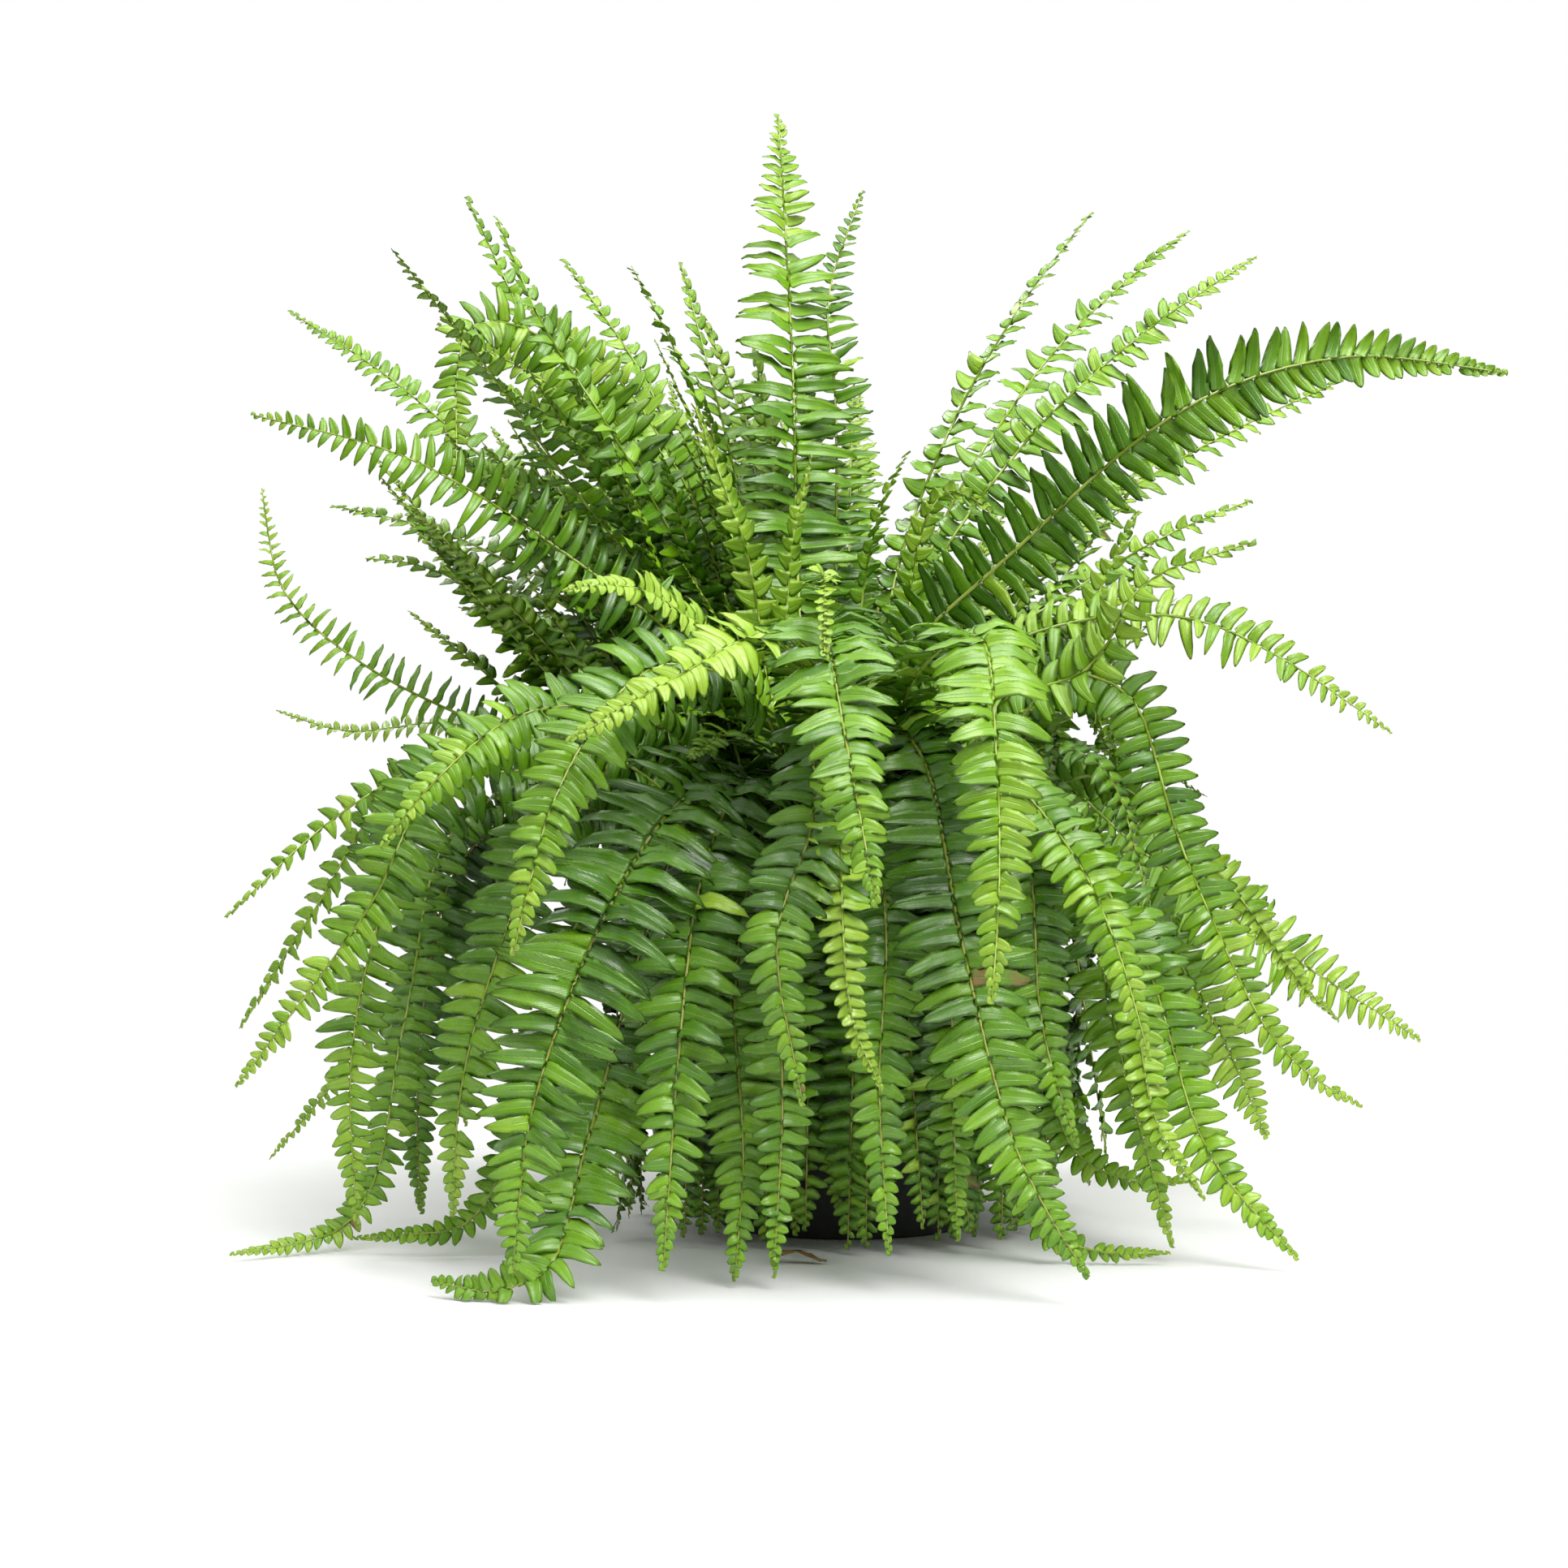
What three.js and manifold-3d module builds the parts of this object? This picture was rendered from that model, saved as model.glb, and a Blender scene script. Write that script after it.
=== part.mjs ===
// A Boston fern growing in a ten-inch plastic hanging-basket pot, which stands on its base.
//
// Millimetres, +Z up. The origin is the centre of the pot's underside, and -Y is the display side.
// The pot, its potting mix, the rhizome crown and every frond are separate closed solids. A frond's
// solid is the plain envelope of its stem and blade: a chain of four-cornered rings, from a point at
// its foot to a point at its tip, whose wide axis lies in the plane of the leaflets.
import * as THREE from 'three';
import { mergeVertices } from 'three/addons/utils/BufferGeometryUtils.js';
import Module from 'manifold-3d';

// ---- Driving dimensions ----

const POT = {
  height: 175,
  baseRadius: 85,
  topRadius: 119,
  wall: 2,
  floor: 3,
  rimRadius: 127,
  rimDepth: 13,
  footChamfer: 3,
  sides: 48,
};
const DRAIN = { count: 8, radius: 4, circle: 62, sides: 16 };
const LUG = { count: 4, width: 12, reach: 5, height: 7, below: 3 };
const MIX = { bottomGap: 0.5, wallGap: 0.5, edgeHeight: 148, middleHeight: 152, sides: 40 };
const CROWN = { radius: 64, height: 15, gap: 0.4, sides: 28 };
const FROND = {
  stations: 16, // rings from foot to tip
  stemWidth: 3.6, // at the foot, across the blade's plane
  stemThickness: 3,
  tipThickness: 1.4,
  bareShare: 0.11, // of the length, below the first leaflets
  taperShare: 0.33, // of the blade, over which it narrows to its tip
  gap: 0.8, // left between neighbours
  reach: 100, // past which midribs are not neighbours
  crowding: 7, // midribs closer than this push each other aside
  rounds: 40, // of pushing
  narrowings: 60, // rounds of fitting blades between their neighbours
  footGap: 0.5, // above the crown
  footSpread: 52, // radius of the patch that the stems grow from
  floorGap: 2.5, // lowest that a midrib lies
};

// ---- Fronds ----

// Each row is a frond's name, half the width of its blade, how far its blade turns from level, 0, to
// facing the display side, 1, and the points that its midrib passes through after leaving the crown, in
// order, ending at its tip.
const FRONDS = [
  // The upright heart of the plant.
  ['frond_upright_1', 34, 0, [[-30, 20, 410], [-35, 50, 585], [-45, 90, 770]]],
  ['frond_upright_2', 33, 0.3, [[-5, 35, 410], [-5, 80, 575], [-10, 100, 640], [15, 110, 720]]],
  ['frond_upright_3', 23, 0.3, [[-60, 60, 445], [-90, 100, 575], [-115, 120, 670]]],
  ['frond_upright_4', 21, 0, [[-50, -55, 405], [-90, -40, 525], [-115, -20, 590], [-145, 10, 650]]],
  ['frond_upright_5', 23, 0.5, [[-85, 75, 450], [-140, 110, 585], [-200, 140, 675]]],
  ['frond_upright_6', 22, 0.2, [[35, 40, 435], [80, 60, 555], [130, 80, 640], [175, 90, 700]]],
  ['frond_upright_7', 13, 0, [[10, -30, 410], [25, -55, 485], [40, -60, 515]]],
  // The upper fan, to the left.
  ['frond_upper_left_1', 26, 0.5, [[-95, -20, 420], [-155, -40, 530], [-200, -60, 600], [-230, -60, 670]]],
  ['frond_upper_left_2', 27, 0.3, [[-115, 120, 450], [-205, 180, 585], [-245, 200, 665], [-275, 200, 730]]],
  ['frond_upper_left_3', 27, 0, [[-105, -60, 395], [-175, -110, 485], [-225, -150, 555], [-285, -170, 630]]],
  ['frond_upper_left_4', 21, 0.6, [[-120, 30, 480], [-205, 0, 600], [-250, -40, 600], [-255, -80, 485]]],
  ['frond_upper_left_5', 25, 0.5, [[-125, 60, 415], [-240, 90, 515], [-320, 110, 585], [-395, 110, 635]]],
  ['frond_upper_left_6', 28, 0.8, [[-100, -60, 375], [-175, -120, 440], [-275, -170, 500], [-370, -190, 525]]],
  ['frond_upper_left_7', 24, 0.5, [[-135, 85, 390], [-245, 130, 460], [-305, 150, 485], [-370, 160, 500]]],
  ['frond_upper_left_8', 20, 0.5, [[-120, 20, 355], [-220, 20, 410], [-285, 10, 445], [-325, 0, 450]]],
  // The upper fan, to the right.
  ['frond_upper_right_1', 25, 0.3, [[55, 120, 440], [145, 200, 600], [210, 230, 670], [265, 240, 715]]],
  ['frond_upper_right_2', 30, 0.5, [[45, 0, 410], [120, -20, 525], [195, -30, 595], [275, -30, 650]]],
  ['frond_upper_right_3', 34, 0.85, [[35, -80, 370], [100, -140, 440], [210, -210, 530], [300, -230, 555], [395, -230, 545]]],
  ['frond_upper_right_4', 25, 0.5, [[70, 100, 380], [180, 160, 490], [275, 190, 550], [380, 200, 600]]],
  ['frond_upper_right_5', 21, 0.5, [[55, 40, 355], [150, 60, 425], [225, 60, 470], [285, 60, 495]]],
  ['frond_upper_right_6', 25, 0.7, [[40, -90, 330], [150, -160, 370], [180, -190, 420], [245, -200, 445]]],
  ['frond_upper_right_7', 28, 0.55, [[60, -20, 355], [135, -60, 400], [220, -90, 405], [275, -110, 380], [345, -130, 330]]],
  // The left side.
  ['frond_left_1', 21, 0.7, [[-155, 20, 300], [-240, 0, 335], [-320, -20, 375], [-375, -30, 425], [-390, -30, 495]]],
  ['frond_left_2', 17, 0.4, [[-170, 80, 300], [-275, 110, 340], [-355, 120, 335], [-405, 120, 350]]],
  ['frond_left_3', 19, 0.6, [[-140, -40, 310], [-260, -60, 315], [-335, -70, 275], [-405, -80, 210]]],
  ['frond_left_4', 21, 0.6, [[-170, 100, 310], [-310, 120, 300], [-380, 130, 205], [-435, 140, 120]]],
  ['frond_left_5', 27, 0.8, [[-150, -120, 315], [-245, -190, 315], [-290, -230, 225], [-370, -240, 115]]],
  ['frond_left_6', 32, 0.8, [[-170, -60, 300], [-265, -110, 290], [-300, -130, 205], [-315, -140, 120], [-310, -150, 20]]],
  ['frond_left_7', 22, 0.6, [[-185, 0, 280], [-260, -20, 270], [-290, -60, 145], [-315, -120, 20], [-385, -180, 5]]],
  ['frond_left_8', 17, 0.6, [[-155, 45, 290], [-225, 60, 245], [-295, 60, 160], [-400, 60, 35]]],
  // The front, to the left.
  ['frond_front_left_1', 27, 0.6, [[-115, -160, 330], [-195, -240, 340], [-245, -280, 300], [-275, -300, 260]]],
  ['frond_front_left_2', 33, 0.5, [[-60, -200, 350], [-120, -270, 365], [-170, -320, 295], [-195, -340, 200]]],
  ['frond_front_left_3', 27, 0.5, [[-25, -180, 360], [-55, -270, 385], [-100, -320, 360], [-165, -350, 320]]],
  ['frond_front_left_4', 31, 0.6, [[-180, -120, 280], [-215, -180, 200], [-240, -190, 110], [-245, -190, 30]]],
  ['frond_front_left_5', 24, 0.6, [[-55, -100, 345], [-95, -200, 395], [-135, -260, 415], [-170, -290, 410]]],
  // The front, hanging over the rim.
  ['frond_front_1', 46, 0.3, [[-65, -160, 300], [-105, -220, 285], [-150, -300, 210], [-185, -330, 110], [-195, -340, 20]]],
  ['frond_front_2', 38, 0.4, [[-85, -100, 290], [-125, -200, 205], [-155, -260, 95], [-185, -330, 10], [-245, -310, 10]]],
  ['frond_front_3', 33, 0.2, [[-60, -180, 300], [-90, -260, 240], [-100, -290, 165], [-110, -330, 20]]],
  ['frond_front_4', 31, 0.2, [[-45, -160, 280], [-70, -230, 180], [-65, -260, 75], [-70, -280, 5]]],
  ['frond_front_5', 28, 0, [[-20, -220, 330], [-25, -300, 270], [-45, -340, 210], [-30, -350, 115]]],
  ['frond_front_6', 36, 0, [[-15, -160, 380], [-15, -280, 380], [-5, -360, 315], [10, -400, 230]]],
  ['frond_front_7', 26, 0, [[5, -180, 300], [20, -250, 215], [15, -280, 120], [20, -300, 25]]],
  ['frond_front_8', 37, 0.2, [[25, -140, 330], [45, -210, 310], [65, -290, 195], [95, -330, 80], [130, -350, 20]]],
  ['frond_front_9', 33, 0.2, [[35, -150, 350], [75, -260, 385], [80, -330, 320], [80, -360, 240], [75, -370, 175]]],
  ['frond_front_10', 27, 0.2, [[60, -120, 310], [105, -200, 265], [115, -230, 150], [135, -240, 80]]],
  // The right side.
  ['frond_front_right_1', 25, 0.5, [[80, -150, 310], [130, -230, 260], [155, -260, 205], [175, -270, 135]]],
  ['frond_front_right_2', 24, 0.6, [[85, -60, 300], [150, -120, 215], [175, -150, 110], [200, -180, 10]]],
  ['frond_front_right_3', 29, 0.7, [[95, -100, 290], [175, -170, 205], [220, -200, 70], [270, -220, 10]]],
  ['frond_right_1', 31, 0.7, [[95, -40, 345], [175, -70, 365], [220, -100, 245], [280, -110, 125], [330, -110, 90]]],
  ['frond_right_2', 28, 0.6, [[120, 40, 310], [215, 60, 245], [300, 60, 185], [400, 50, 120]]],
  ['frond_right_3', 37, 0.8, [[90, 60, 300], [175, 100, 255], [260, 120, 140], [305, 120, 45]]],
  // The back, hanging over the rim.
  ['frond_back_1', 30, 0, [[-150, 160, 330], [-230, 250, 270], [-280, 300, 140], [-290, 320, 30]]],
  ['frond_back_2', 34, 0, [[-80, 170, 360], [-130, 300, 340], [-150, 370, 210], [-150, 390, 90]]],
  ['frond_back_3', 30, 0, [[-10, 160, 320], [-20, 260, 250], [-20, 310, 130], [-10, 340, 15]]],
  ['frond_back_4', 34, 0, [[40, 170, 370], [80, 300, 370], [100, 380, 260], [100, 400, 140]]],
  ['frond_back_5', 32, 0, [[75, 160, 330], [125, 250, 275], [160, 315, 140], [170, 345, 25]]],
  ['frond_back_6', 30, 0, [[100, 125, 330], [190, 190, 300], [250, 240, 200], [270, 275, 95]]],
];

// ---- Colours ----

const finishes = {
  pot: new THREE.MeshStandardMaterial({ color: 0x26282a, roughness: 0.55, metalness: 0 }),
  mix: new THREE.MeshStandardMaterial({ color: 0x33241a, roughness: 0.95, metalness: 0 }),
  crown: new THREE.MeshStandardMaterial({ color: 0x5b3f26, roughness: 0.9, metalness: 0 }),
  frond: new THREE.MeshStandardMaterial({ color: 0x5e9e2c, roughness: 0.5, metalness: 0 }),
};

// ---- Solids ----

const wasm = await Module();
wasm.setup();

function toSolid(geometry) {
  const bare = geometry.clone();
  bare.deleteAttribute('normal');
  bare.deleteAttribute('uv');
  const merged = mergeVertices(bare, 1e-3);
  return new wasm.Manifold(
    new wasm.Mesh({
      numProp: 3,
      vertProperties: merged.attributes.position.array,
      triVerts: new Uint32Array(merged.index.array),
    }),
  );
}

function toGeometry(solid) {
  const { vertProperties, triVerts } = solid.getMesh();
  const geometry = new THREE.BufferGeometry();
  geometry.setAttribute('position', new THREE.BufferAttribute(vertProperties, 3));
  geometry.setIndex(new THREE.BufferAttribute(triVerts, 1));
  geometry.computeVertexNormals();
  return geometry;
}

function named(name, geometry, finish) {
  const mesh = new THREE.Mesh(geometry, finish);
  mesh.name = name;
  return mesh;
}

// A solid of revolution about Z from (radius, height) points that start and end on the axis.
function turned(points, sides) {
  const geometry = new THREE.LatheGeometry(points.map(([r, z]) => new THREE.Vector2(r, z)), sides);
  return geometry.rotateX(Math.PI / 2);
}

const wallRadius = (z) => POT.baseRadius + (POT.topRadius - POT.baseRadius) * (z / POT.height);
const innerRadius = (z) => wallRadius(z) - POT.wall;

// ---- Pot ----

function pot() {
  const { height, floor, rimRadius, rimDepth, footChamfer } = POT;
  const rimFoot = height - rimDepth;
  const shell = turned(
    [
      [0, 0],
      [POT.baseRadius - footChamfer, 0],
      [wallRadius(footChamfer), footChamfer],
      [wallRadius(rimFoot), rimFoot],
      [rimRadius - 1, rimFoot],
      [rimRadius, height - 2],
      [rimRadius - 2, height],
      [innerRadius(height) + 1, height],
      [innerRadius(height - 2), height - 2],
      [innerRadius(floor), floor],
      [0, floor],
    ],
    POT.sides,
  );
  let solid = toSolid(shell);
  for (let i = 0; i < DRAIN.count; i++) {
    const angle = ((i + 0.5) / DRAIN.count) * 2 * Math.PI;
    const hole = new THREE.CylinderGeometry(DRAIN.radius, DRAIN.radius, 4 * floor, DRAIN.sides);
    hole.rotateX(Math.PI / 2);
    hole.translate(DRAIN.circle * Math.cos(angle), DRAIN.circle * Math.sin(angle), 0);
    solid = solid.subtract(toSolid(hole));
  }
  // Lugs under the rim, where a wire hanger clips on.
  for (let i = 0; i < LUG.count; i++) {
    const z = rimFoot - LUG.below;
    const reach = LUG.reach + POT.wall / 2;
    const lug = new THREE.BoxGeometry(reach, LUG.width, LUG.height);
    lug.translate(wallRadius(z) - POT.wall / 2 + reach / 2, 0, z);
    lug.rotateZ(((i + 0.5) / LUG.count) * 2 * Math.PI);
    solid = solid.add(toSolid(lug));
  }
  return named('pot', toGeometry(solid), finishes.pot);
}

// ---- Potting mix and crown ----

function pottingMix() {
  const bottom = POT.floor + MIX.bottomGap;
  const edge = (z) => innerRadius(z) - MIX.wallGap;
  const profile = [
    [0, bottom],
    [edge(bottom), bottom],
    [edge(MIX.edgeHeight), MIX.edgeHeight],
    [0.6 * edge(MIX.edgeHeight), MIX.middleHeight],
    [0, MIX.middleHeight],
  ];
  return named('potting_mix', turned(profile, MIX.sides), finishes.mix);
}

const crownBottom = MIX.middleHeight + CROWN.gap;
const crownTop = (r) => crownBottom + 3 + (CROWN.height - 3) * (1 - (r / CROWN.radius) ** 2);

function crown() {
  const rings = [0.3, 0.6, 0.85, 1].reverse().map((share) => share * CROWN.radius);
  const profile = [[0, crownBottom], [CROWN.radius - 3, crownBottom]];
  rings.forEach((r) => profile.push([r, crownTop(r)]));
  profile.push([0, crownTop(0)]);
  return named('rhizome_crown', turned(profile, CROWN.sides), finishes.crown);
}

// ---- Fronds ----

const UP = new THREE.Vector3(0, 0, 1);
const DISPLAY = new THREE.Vector3(0, -1, 0);
const GOLDEN_ANGLE = Math.PI * (3 - Math.sqrt(5));

// Spots on the crown, spread like seeds in a sunflower. Each frond takes the free spot nearest to where
// its first stretch points, so that stems leave the crown without crossing.
function feet(rows) {
  const spots = rows.map((_, i) => {
    const r = FROND.footSpread * Math.sqrt((i + 0.5) / rows.length);
    return new THREE.Vector3(
      r * Math.cos(i * GOLDEN_ANGLE),
      r * Math.sin(i * GOLDEN_ANGLE),
      crownTop(r) + FROND.footGap,
    );
  });
  return rows.map(([, , , points]) => {
    const [x, y, z] = points[0];
    const want = new THREE.Vector3(x, y, 0).multiplyScalar((1.4 * FROND.footSpread) / (z - crownBottom));
    if (want.length() > FROND.footSpread) want.setLength(FROND.footSpread);
    const flat = (s) => Math.hypot(s.x - want.x, s.y - want.y);
    const best = spots.reduce((a, b) => (flat(b) < flat(a) ? b : a));
    spots.splice(spots.indexOf(best), 1);
    return best;
  });
}

// The midrib's stations: evenly spaced points on a smooth curve from the foot through the row's points.
function midrib(foot, points) {
  const rise = foot.clone().add(new THREE.Vector3(0.15 * foot.x, 0.15 * foot.y, 30));
  const through = [foot, rise, ...points.map((p) => new THREE.Vector3(...p))];
  const curve = new THREE.CatmullRomCurve3(through, false, 'centripetal');
  const stations = curve.getSpacedPoints(FROND.stations);
  stations.slice(1).forEach((p) => (p.z = Math.max(p.z, FROND.floorGap)));
  return stations;
}

// The nearest approach of stretch i of one line to stretch j of another: how far along each it lies,
// from 0 to 1, and the way from the second line to the first.
function approach(first, i, second, j) {
  const u = first[i + 1].clone().sub(first[i]);
  const v = second[j + 1].clone().sub(second[j]);
  const w = first[i].clone().sub(second[j]);
  const clamp = (x) => THREE.MathUtils.clamp(x, 0, 1);
  const det = u.lengthSq() * v.lengthSq() - u.dot(v) ** 2;
  let s = det > 1e-9 ? clamp((u.dot(v) * v.dot(w) - v.lengthSq() * u.dot(w)) / det) : 0;
  const t = clamp((v.dot(w) + s * u.dot(v)) / v.lengthSq());
  s = clamp((t * u.dot(v) - u.dot(w)) / u.lengthSq());
  return { s, t, way: w.addScaledVector(u, s).addScaledVector(v, -t) };
}

// Whether two stretches are near enough to be worth measuring.
function near(first, i, second, j, reach) {
  const lengths = first[i].distanceTo(first[i + 1]) + second[j].distanceTo(second[j + 1]);
  return first[i].distanceTo(second[j]) < lengths + reach;
}

// Midribs that pass too close give way to each other, each by half of the shortfall. Feet stay put.
function pushApart(lines) {
  for (let round = 0; round < FROND.rounds; round++) {
    lines.forEach((a, k) =>
      lines.slice(k + 1).forEach((b) => {
        for (let i = 0; i < a.length - 1; i++) {
          for (let j = 0; j < b.length - 1; j++) {
            if (near(a, i, b, j, FROND.crowding)) part(a, i, b, j);
          }
        }
      }),
    );
    lines.forEach((line) => line.slice(1).forEach((p) => (p.z = Math.max(p.z, FROND.floorGap))));
  }
}

function part(a, i, b, j) {
  const { s, t, way } = approach(a, i, b, j);
  const shortfall = FROND.crowding - way.length();
  if (shortfall <= 0) return;
  if (way.lengthSq() < 1e-6) way.set(1, 0, 0);
  way.setLength(shortfall / 2);
  if (i > 0) a[i].addScaledVector(way, 1 - s);
  a[i + 1].addScaledVector(way, s);
  if (j > 0) b[j].addScaledVector(way, t - 1);
  b[j + 1].addScaledVector(way, -t);
}

// For each station of a line, how near another midrib comes to the stretches on either side of it.
function clearances(line, others) {
  const spans = line.slice(1).map((_, i) => {
    let nearest = Infinity;
    for (const other of others) {
      for (let j = 0; j < other.length - 1; j++) {
        if (!near(line, i, other, j, FROND.reach)) continue;
        nearest = Math.min(nearest, approach(line, i, other, j).way.length());
      }
    }
    return nearest;
  });
  return line.map((_, i) => Math.min(spans[i - 1] ?? Infinity, spans[i] ?? Infinity));
}

// A blade's half-width at t, from 0 at its foot to 1 at its tip, with nothing near it.
function freeHalf(widest, t) {
  const s = (t - FROND.bareShare) / (1 - FROND.bareShare);
  if (s < 0) return FROND.stemWidth / 2;
  return widest * Math.min(1, 0.4 + 3.2 * s) * Math.min(1, ((1 - s) / FROND.taperShare) ** 0.75);
}

// The closed envelope: a four-cornered ring at each station between the foot and the tip, half as wide
// as the blade is there, and grown all round by a margin.
function frondGeometry({ line, facing, halves }, margin = 0) {
  const last = line.length - 1;
  const outward = line[last].clone().sub(line[0]).setZ(0).normalize();
  const level = outward.clone().cross(UP).normalize();
  const positions = [line[0]];
  for (let k = 1; k < last; k++) {
    const t = k / last;
    const along = line[k + 1].clone().sub(line[k - 1]).normalize();
    const flat = level.clone().addScaledVector(along, -level.dot(along)).normalize();
    const upper = flat.cross(along).normalize();
    const turned = facing * Math.min(1, 2.5 * t);
    const display = DISPLAY.clone().addScaledVector(along, -DISPLAY.dot(along));
    const normal = upper.multiplyScalar(1 - turned).addScaledVector(display, turned).normalize();
    const side = along.clone().cross(normal).normalize();
    const thin = THREE.MathUtils.lerp(FROND.stemThickness, FROND.tipThickness, t) / 2;
    const overFloor = (line[k].z - 0.5) / Math.max(0.02, Math.abs(side.z));
    const half = Math.max(1, Math.min(halves[k], overFloor)) + margin;
    const deep = Math.min(thin, 0.8 * half) + margin;
    positions.push(
      line[k].clone().addScaledVector(side, half),
      line[k].clone().addScaledVector(normal, deep),
      line[k].clone().addScaledVector(side, -half),
      line[k].clone().addScaledVector(normal, -deep),
    );
  }
  positions.push(line[last]);
  const faces = [];
  const corner = (ring, i) => 1 + 4 * ring + (i % 4);
  const end = positions.length - 1;
  for (let i = 0; i < 4; i++) {
    faces.push(0, corner(0, i), corner(0, i + 1));
    for (let ring = 0; ring < last - 2; ring++) {
      // Both faces of the blade split from its edge to its ridge, so that they stay apart where it twists.
      const [a, b] = [corner(ring, i), corner(ring + 1, i)];
      const [d, c] = [corner(ring, i + 1), corner(ring + 1, i + 1)];
      if (i % 2 === 0) faces.push(a, b, c, a, c, d);
      else faces.push(a, b, d, b, c, d);
    }
    faces.push(end, corner(last - 2, i + 1), corner(last - 2, i));
  }
  const geometry = new THREE.BufferGeometry().setFromPoints(positions);
  geometry.setIndex(faces);
  geometry.computeVertexNormals();
  return geometry;
}

// Blades start at full width. Wherever two would touch, both are narrowed there, step by step, down to
// no less than what their midribs leave free.
function fitBlades(blades) {
  blades.forEach((blade, i) => {
    const others = blades.filter((_, j) => j !== i).map((other) => other.line);
    blade.room = clearances(blade.line, others).map((gap) => Math.max(1, (gap - 2 * FROND.gap) / 2));
  });
  for (let round = 0; round < FROND.narrowings; round++) {
    const solids = blades.map((blade) => toSolid(frondGeometry(blade, FROND.gap / 2)));
    const tight = blades.map(() => new Set());
    solids.forEach((first, i) =>
      solids.slice(i + 1).forEach((second, n) => {
        const j = i + 1 + n;
        const common = first.intersect(second);
        if (common.isEmpty()) return;
        const { vertProperties: xyz } = common.getMesh();
        for (let v = 0; v < xyz.length; v += 3) {
          const point = new THREE.Vector3(xyz[v], xyz[v + 1], xyz[v + 2]);
          tight[i].add(nearestStation(blades[i].line, point));
          tight[j].add(nearestStation(blades[j].line, point));
        }
      }),
    );
    const changed = blades.map((blade, i) => narrow(blade, tight[i]));
    if (!changed.includes(true)) return;
  }
  blades.forEach((blade) => (blade.halves = blade.halves.map((h, k) => Math.min(h, blade.room[k]))));
}

function nearestStation(line, point) {
  const gaps = line.map((station) => station.distanceTo(point));
  return gaps.indexOf(Math.min(...gaps));
}

function narrow(blade, stations) {
  let changed = false;
  for (const k of stations) {
    for (const [n, factor] of [[k - 1, 0.93], [k, 0.86], [k + 1, 0.93]]) {
      if (n < 0 || n >= blade.halves.length || blade.halves[n] <= blade.room[n]) continue;
      blade.halves[n] = Math.max(blade.room[n], factor * blade.halves[n]);
      changed = true;
    }
  }
  return changed;
}

function fronds() {
  const starts = feet(FRONDS);
  const lines = FRONDS.map(([, , , points], i) => midrib(starts[i], points));
  pushApart(lines);
  const blades = FRONDS.map(([name, half, facing], i) => {
    const line = lines[i];
    return { name, facing, line, halves: line.map((_, k) => freeHalf(half, k / FROND.stations)) };
  });
  fitBlades(blades);
  return blades.map((blade) => named(blade.name, frondGeometry(blade), finishes.frond));
}

// ---- The plant ----

const fern = new THREE.Group();
fern.add(pot(), pottingMix(), crown(), ...fronds());

export default fern;
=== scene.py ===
"""A Boston fern growing in a ten-inch plastic hanging-basket pot that stands on its base.

Metres, +Z up. The centre of the pot's underside is the origin, and -Y is the display side. Every
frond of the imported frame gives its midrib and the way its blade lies; its stem and its separate
leaflets are grown along that. Smaller fronds of the same kind fill the plant between them.
"""

import math
import random

import bmesh
import bpy
from mathutils import Matrix, Vector, noise


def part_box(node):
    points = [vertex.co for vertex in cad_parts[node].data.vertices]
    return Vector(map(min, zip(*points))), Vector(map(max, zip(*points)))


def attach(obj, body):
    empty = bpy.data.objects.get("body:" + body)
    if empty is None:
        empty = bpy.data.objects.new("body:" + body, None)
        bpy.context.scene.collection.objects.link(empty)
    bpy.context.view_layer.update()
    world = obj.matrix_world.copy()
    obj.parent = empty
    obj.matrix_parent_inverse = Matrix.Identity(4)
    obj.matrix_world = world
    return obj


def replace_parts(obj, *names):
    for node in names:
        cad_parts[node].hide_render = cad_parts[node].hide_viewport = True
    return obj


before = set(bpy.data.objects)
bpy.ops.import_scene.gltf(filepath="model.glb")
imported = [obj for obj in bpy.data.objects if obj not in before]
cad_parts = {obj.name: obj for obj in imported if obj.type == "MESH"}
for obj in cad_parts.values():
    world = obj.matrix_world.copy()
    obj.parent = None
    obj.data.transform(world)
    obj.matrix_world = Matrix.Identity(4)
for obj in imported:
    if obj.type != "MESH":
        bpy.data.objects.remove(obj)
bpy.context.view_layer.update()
scene = bpy.context.scene

# ---- Camera ----

LENS = 71.1
SENSOR = 36
EYE = Vector((-0.041, -2.1, 0.297))


def set_camera():
    """A level camera before the display side, at the height of the fronds' arches."""
    data = bpy.data.cameras.new("camera")
    data.lens = LENS
    data.sensor_width = SENSOR
    camera = bpy.data.objects.new("camera", data)
    camera.location = EYE
    camera.rotation_euler = (math.radians(90), 0, 0)
    scene.collection.objects.link(camera)
    scene.camera = camera


set_camera()

# ---- Sizes ----

MM = 0.001
UP = Vector((0, 0, 1))
DISPLAY = Vector((0, -1, 0))

pot_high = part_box("pot")[1]
mix_low, mix_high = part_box("potting_mix")
crown_low, crown_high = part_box("rhizome_crown")
CROWN_TOP = Vector((0, 0, crown_high.z))
CROWN_RADIUS = crown_high.x
SPROUT_HEIGHT = crown_high.z - 6 * MM  # where the stems within the plant start
RIM_RADIUS = pot_high.x
RIM_TOP = pot_high.z
FLOOR_GAP = 1.2 * MM  # lowest that a leaflet lies

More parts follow.
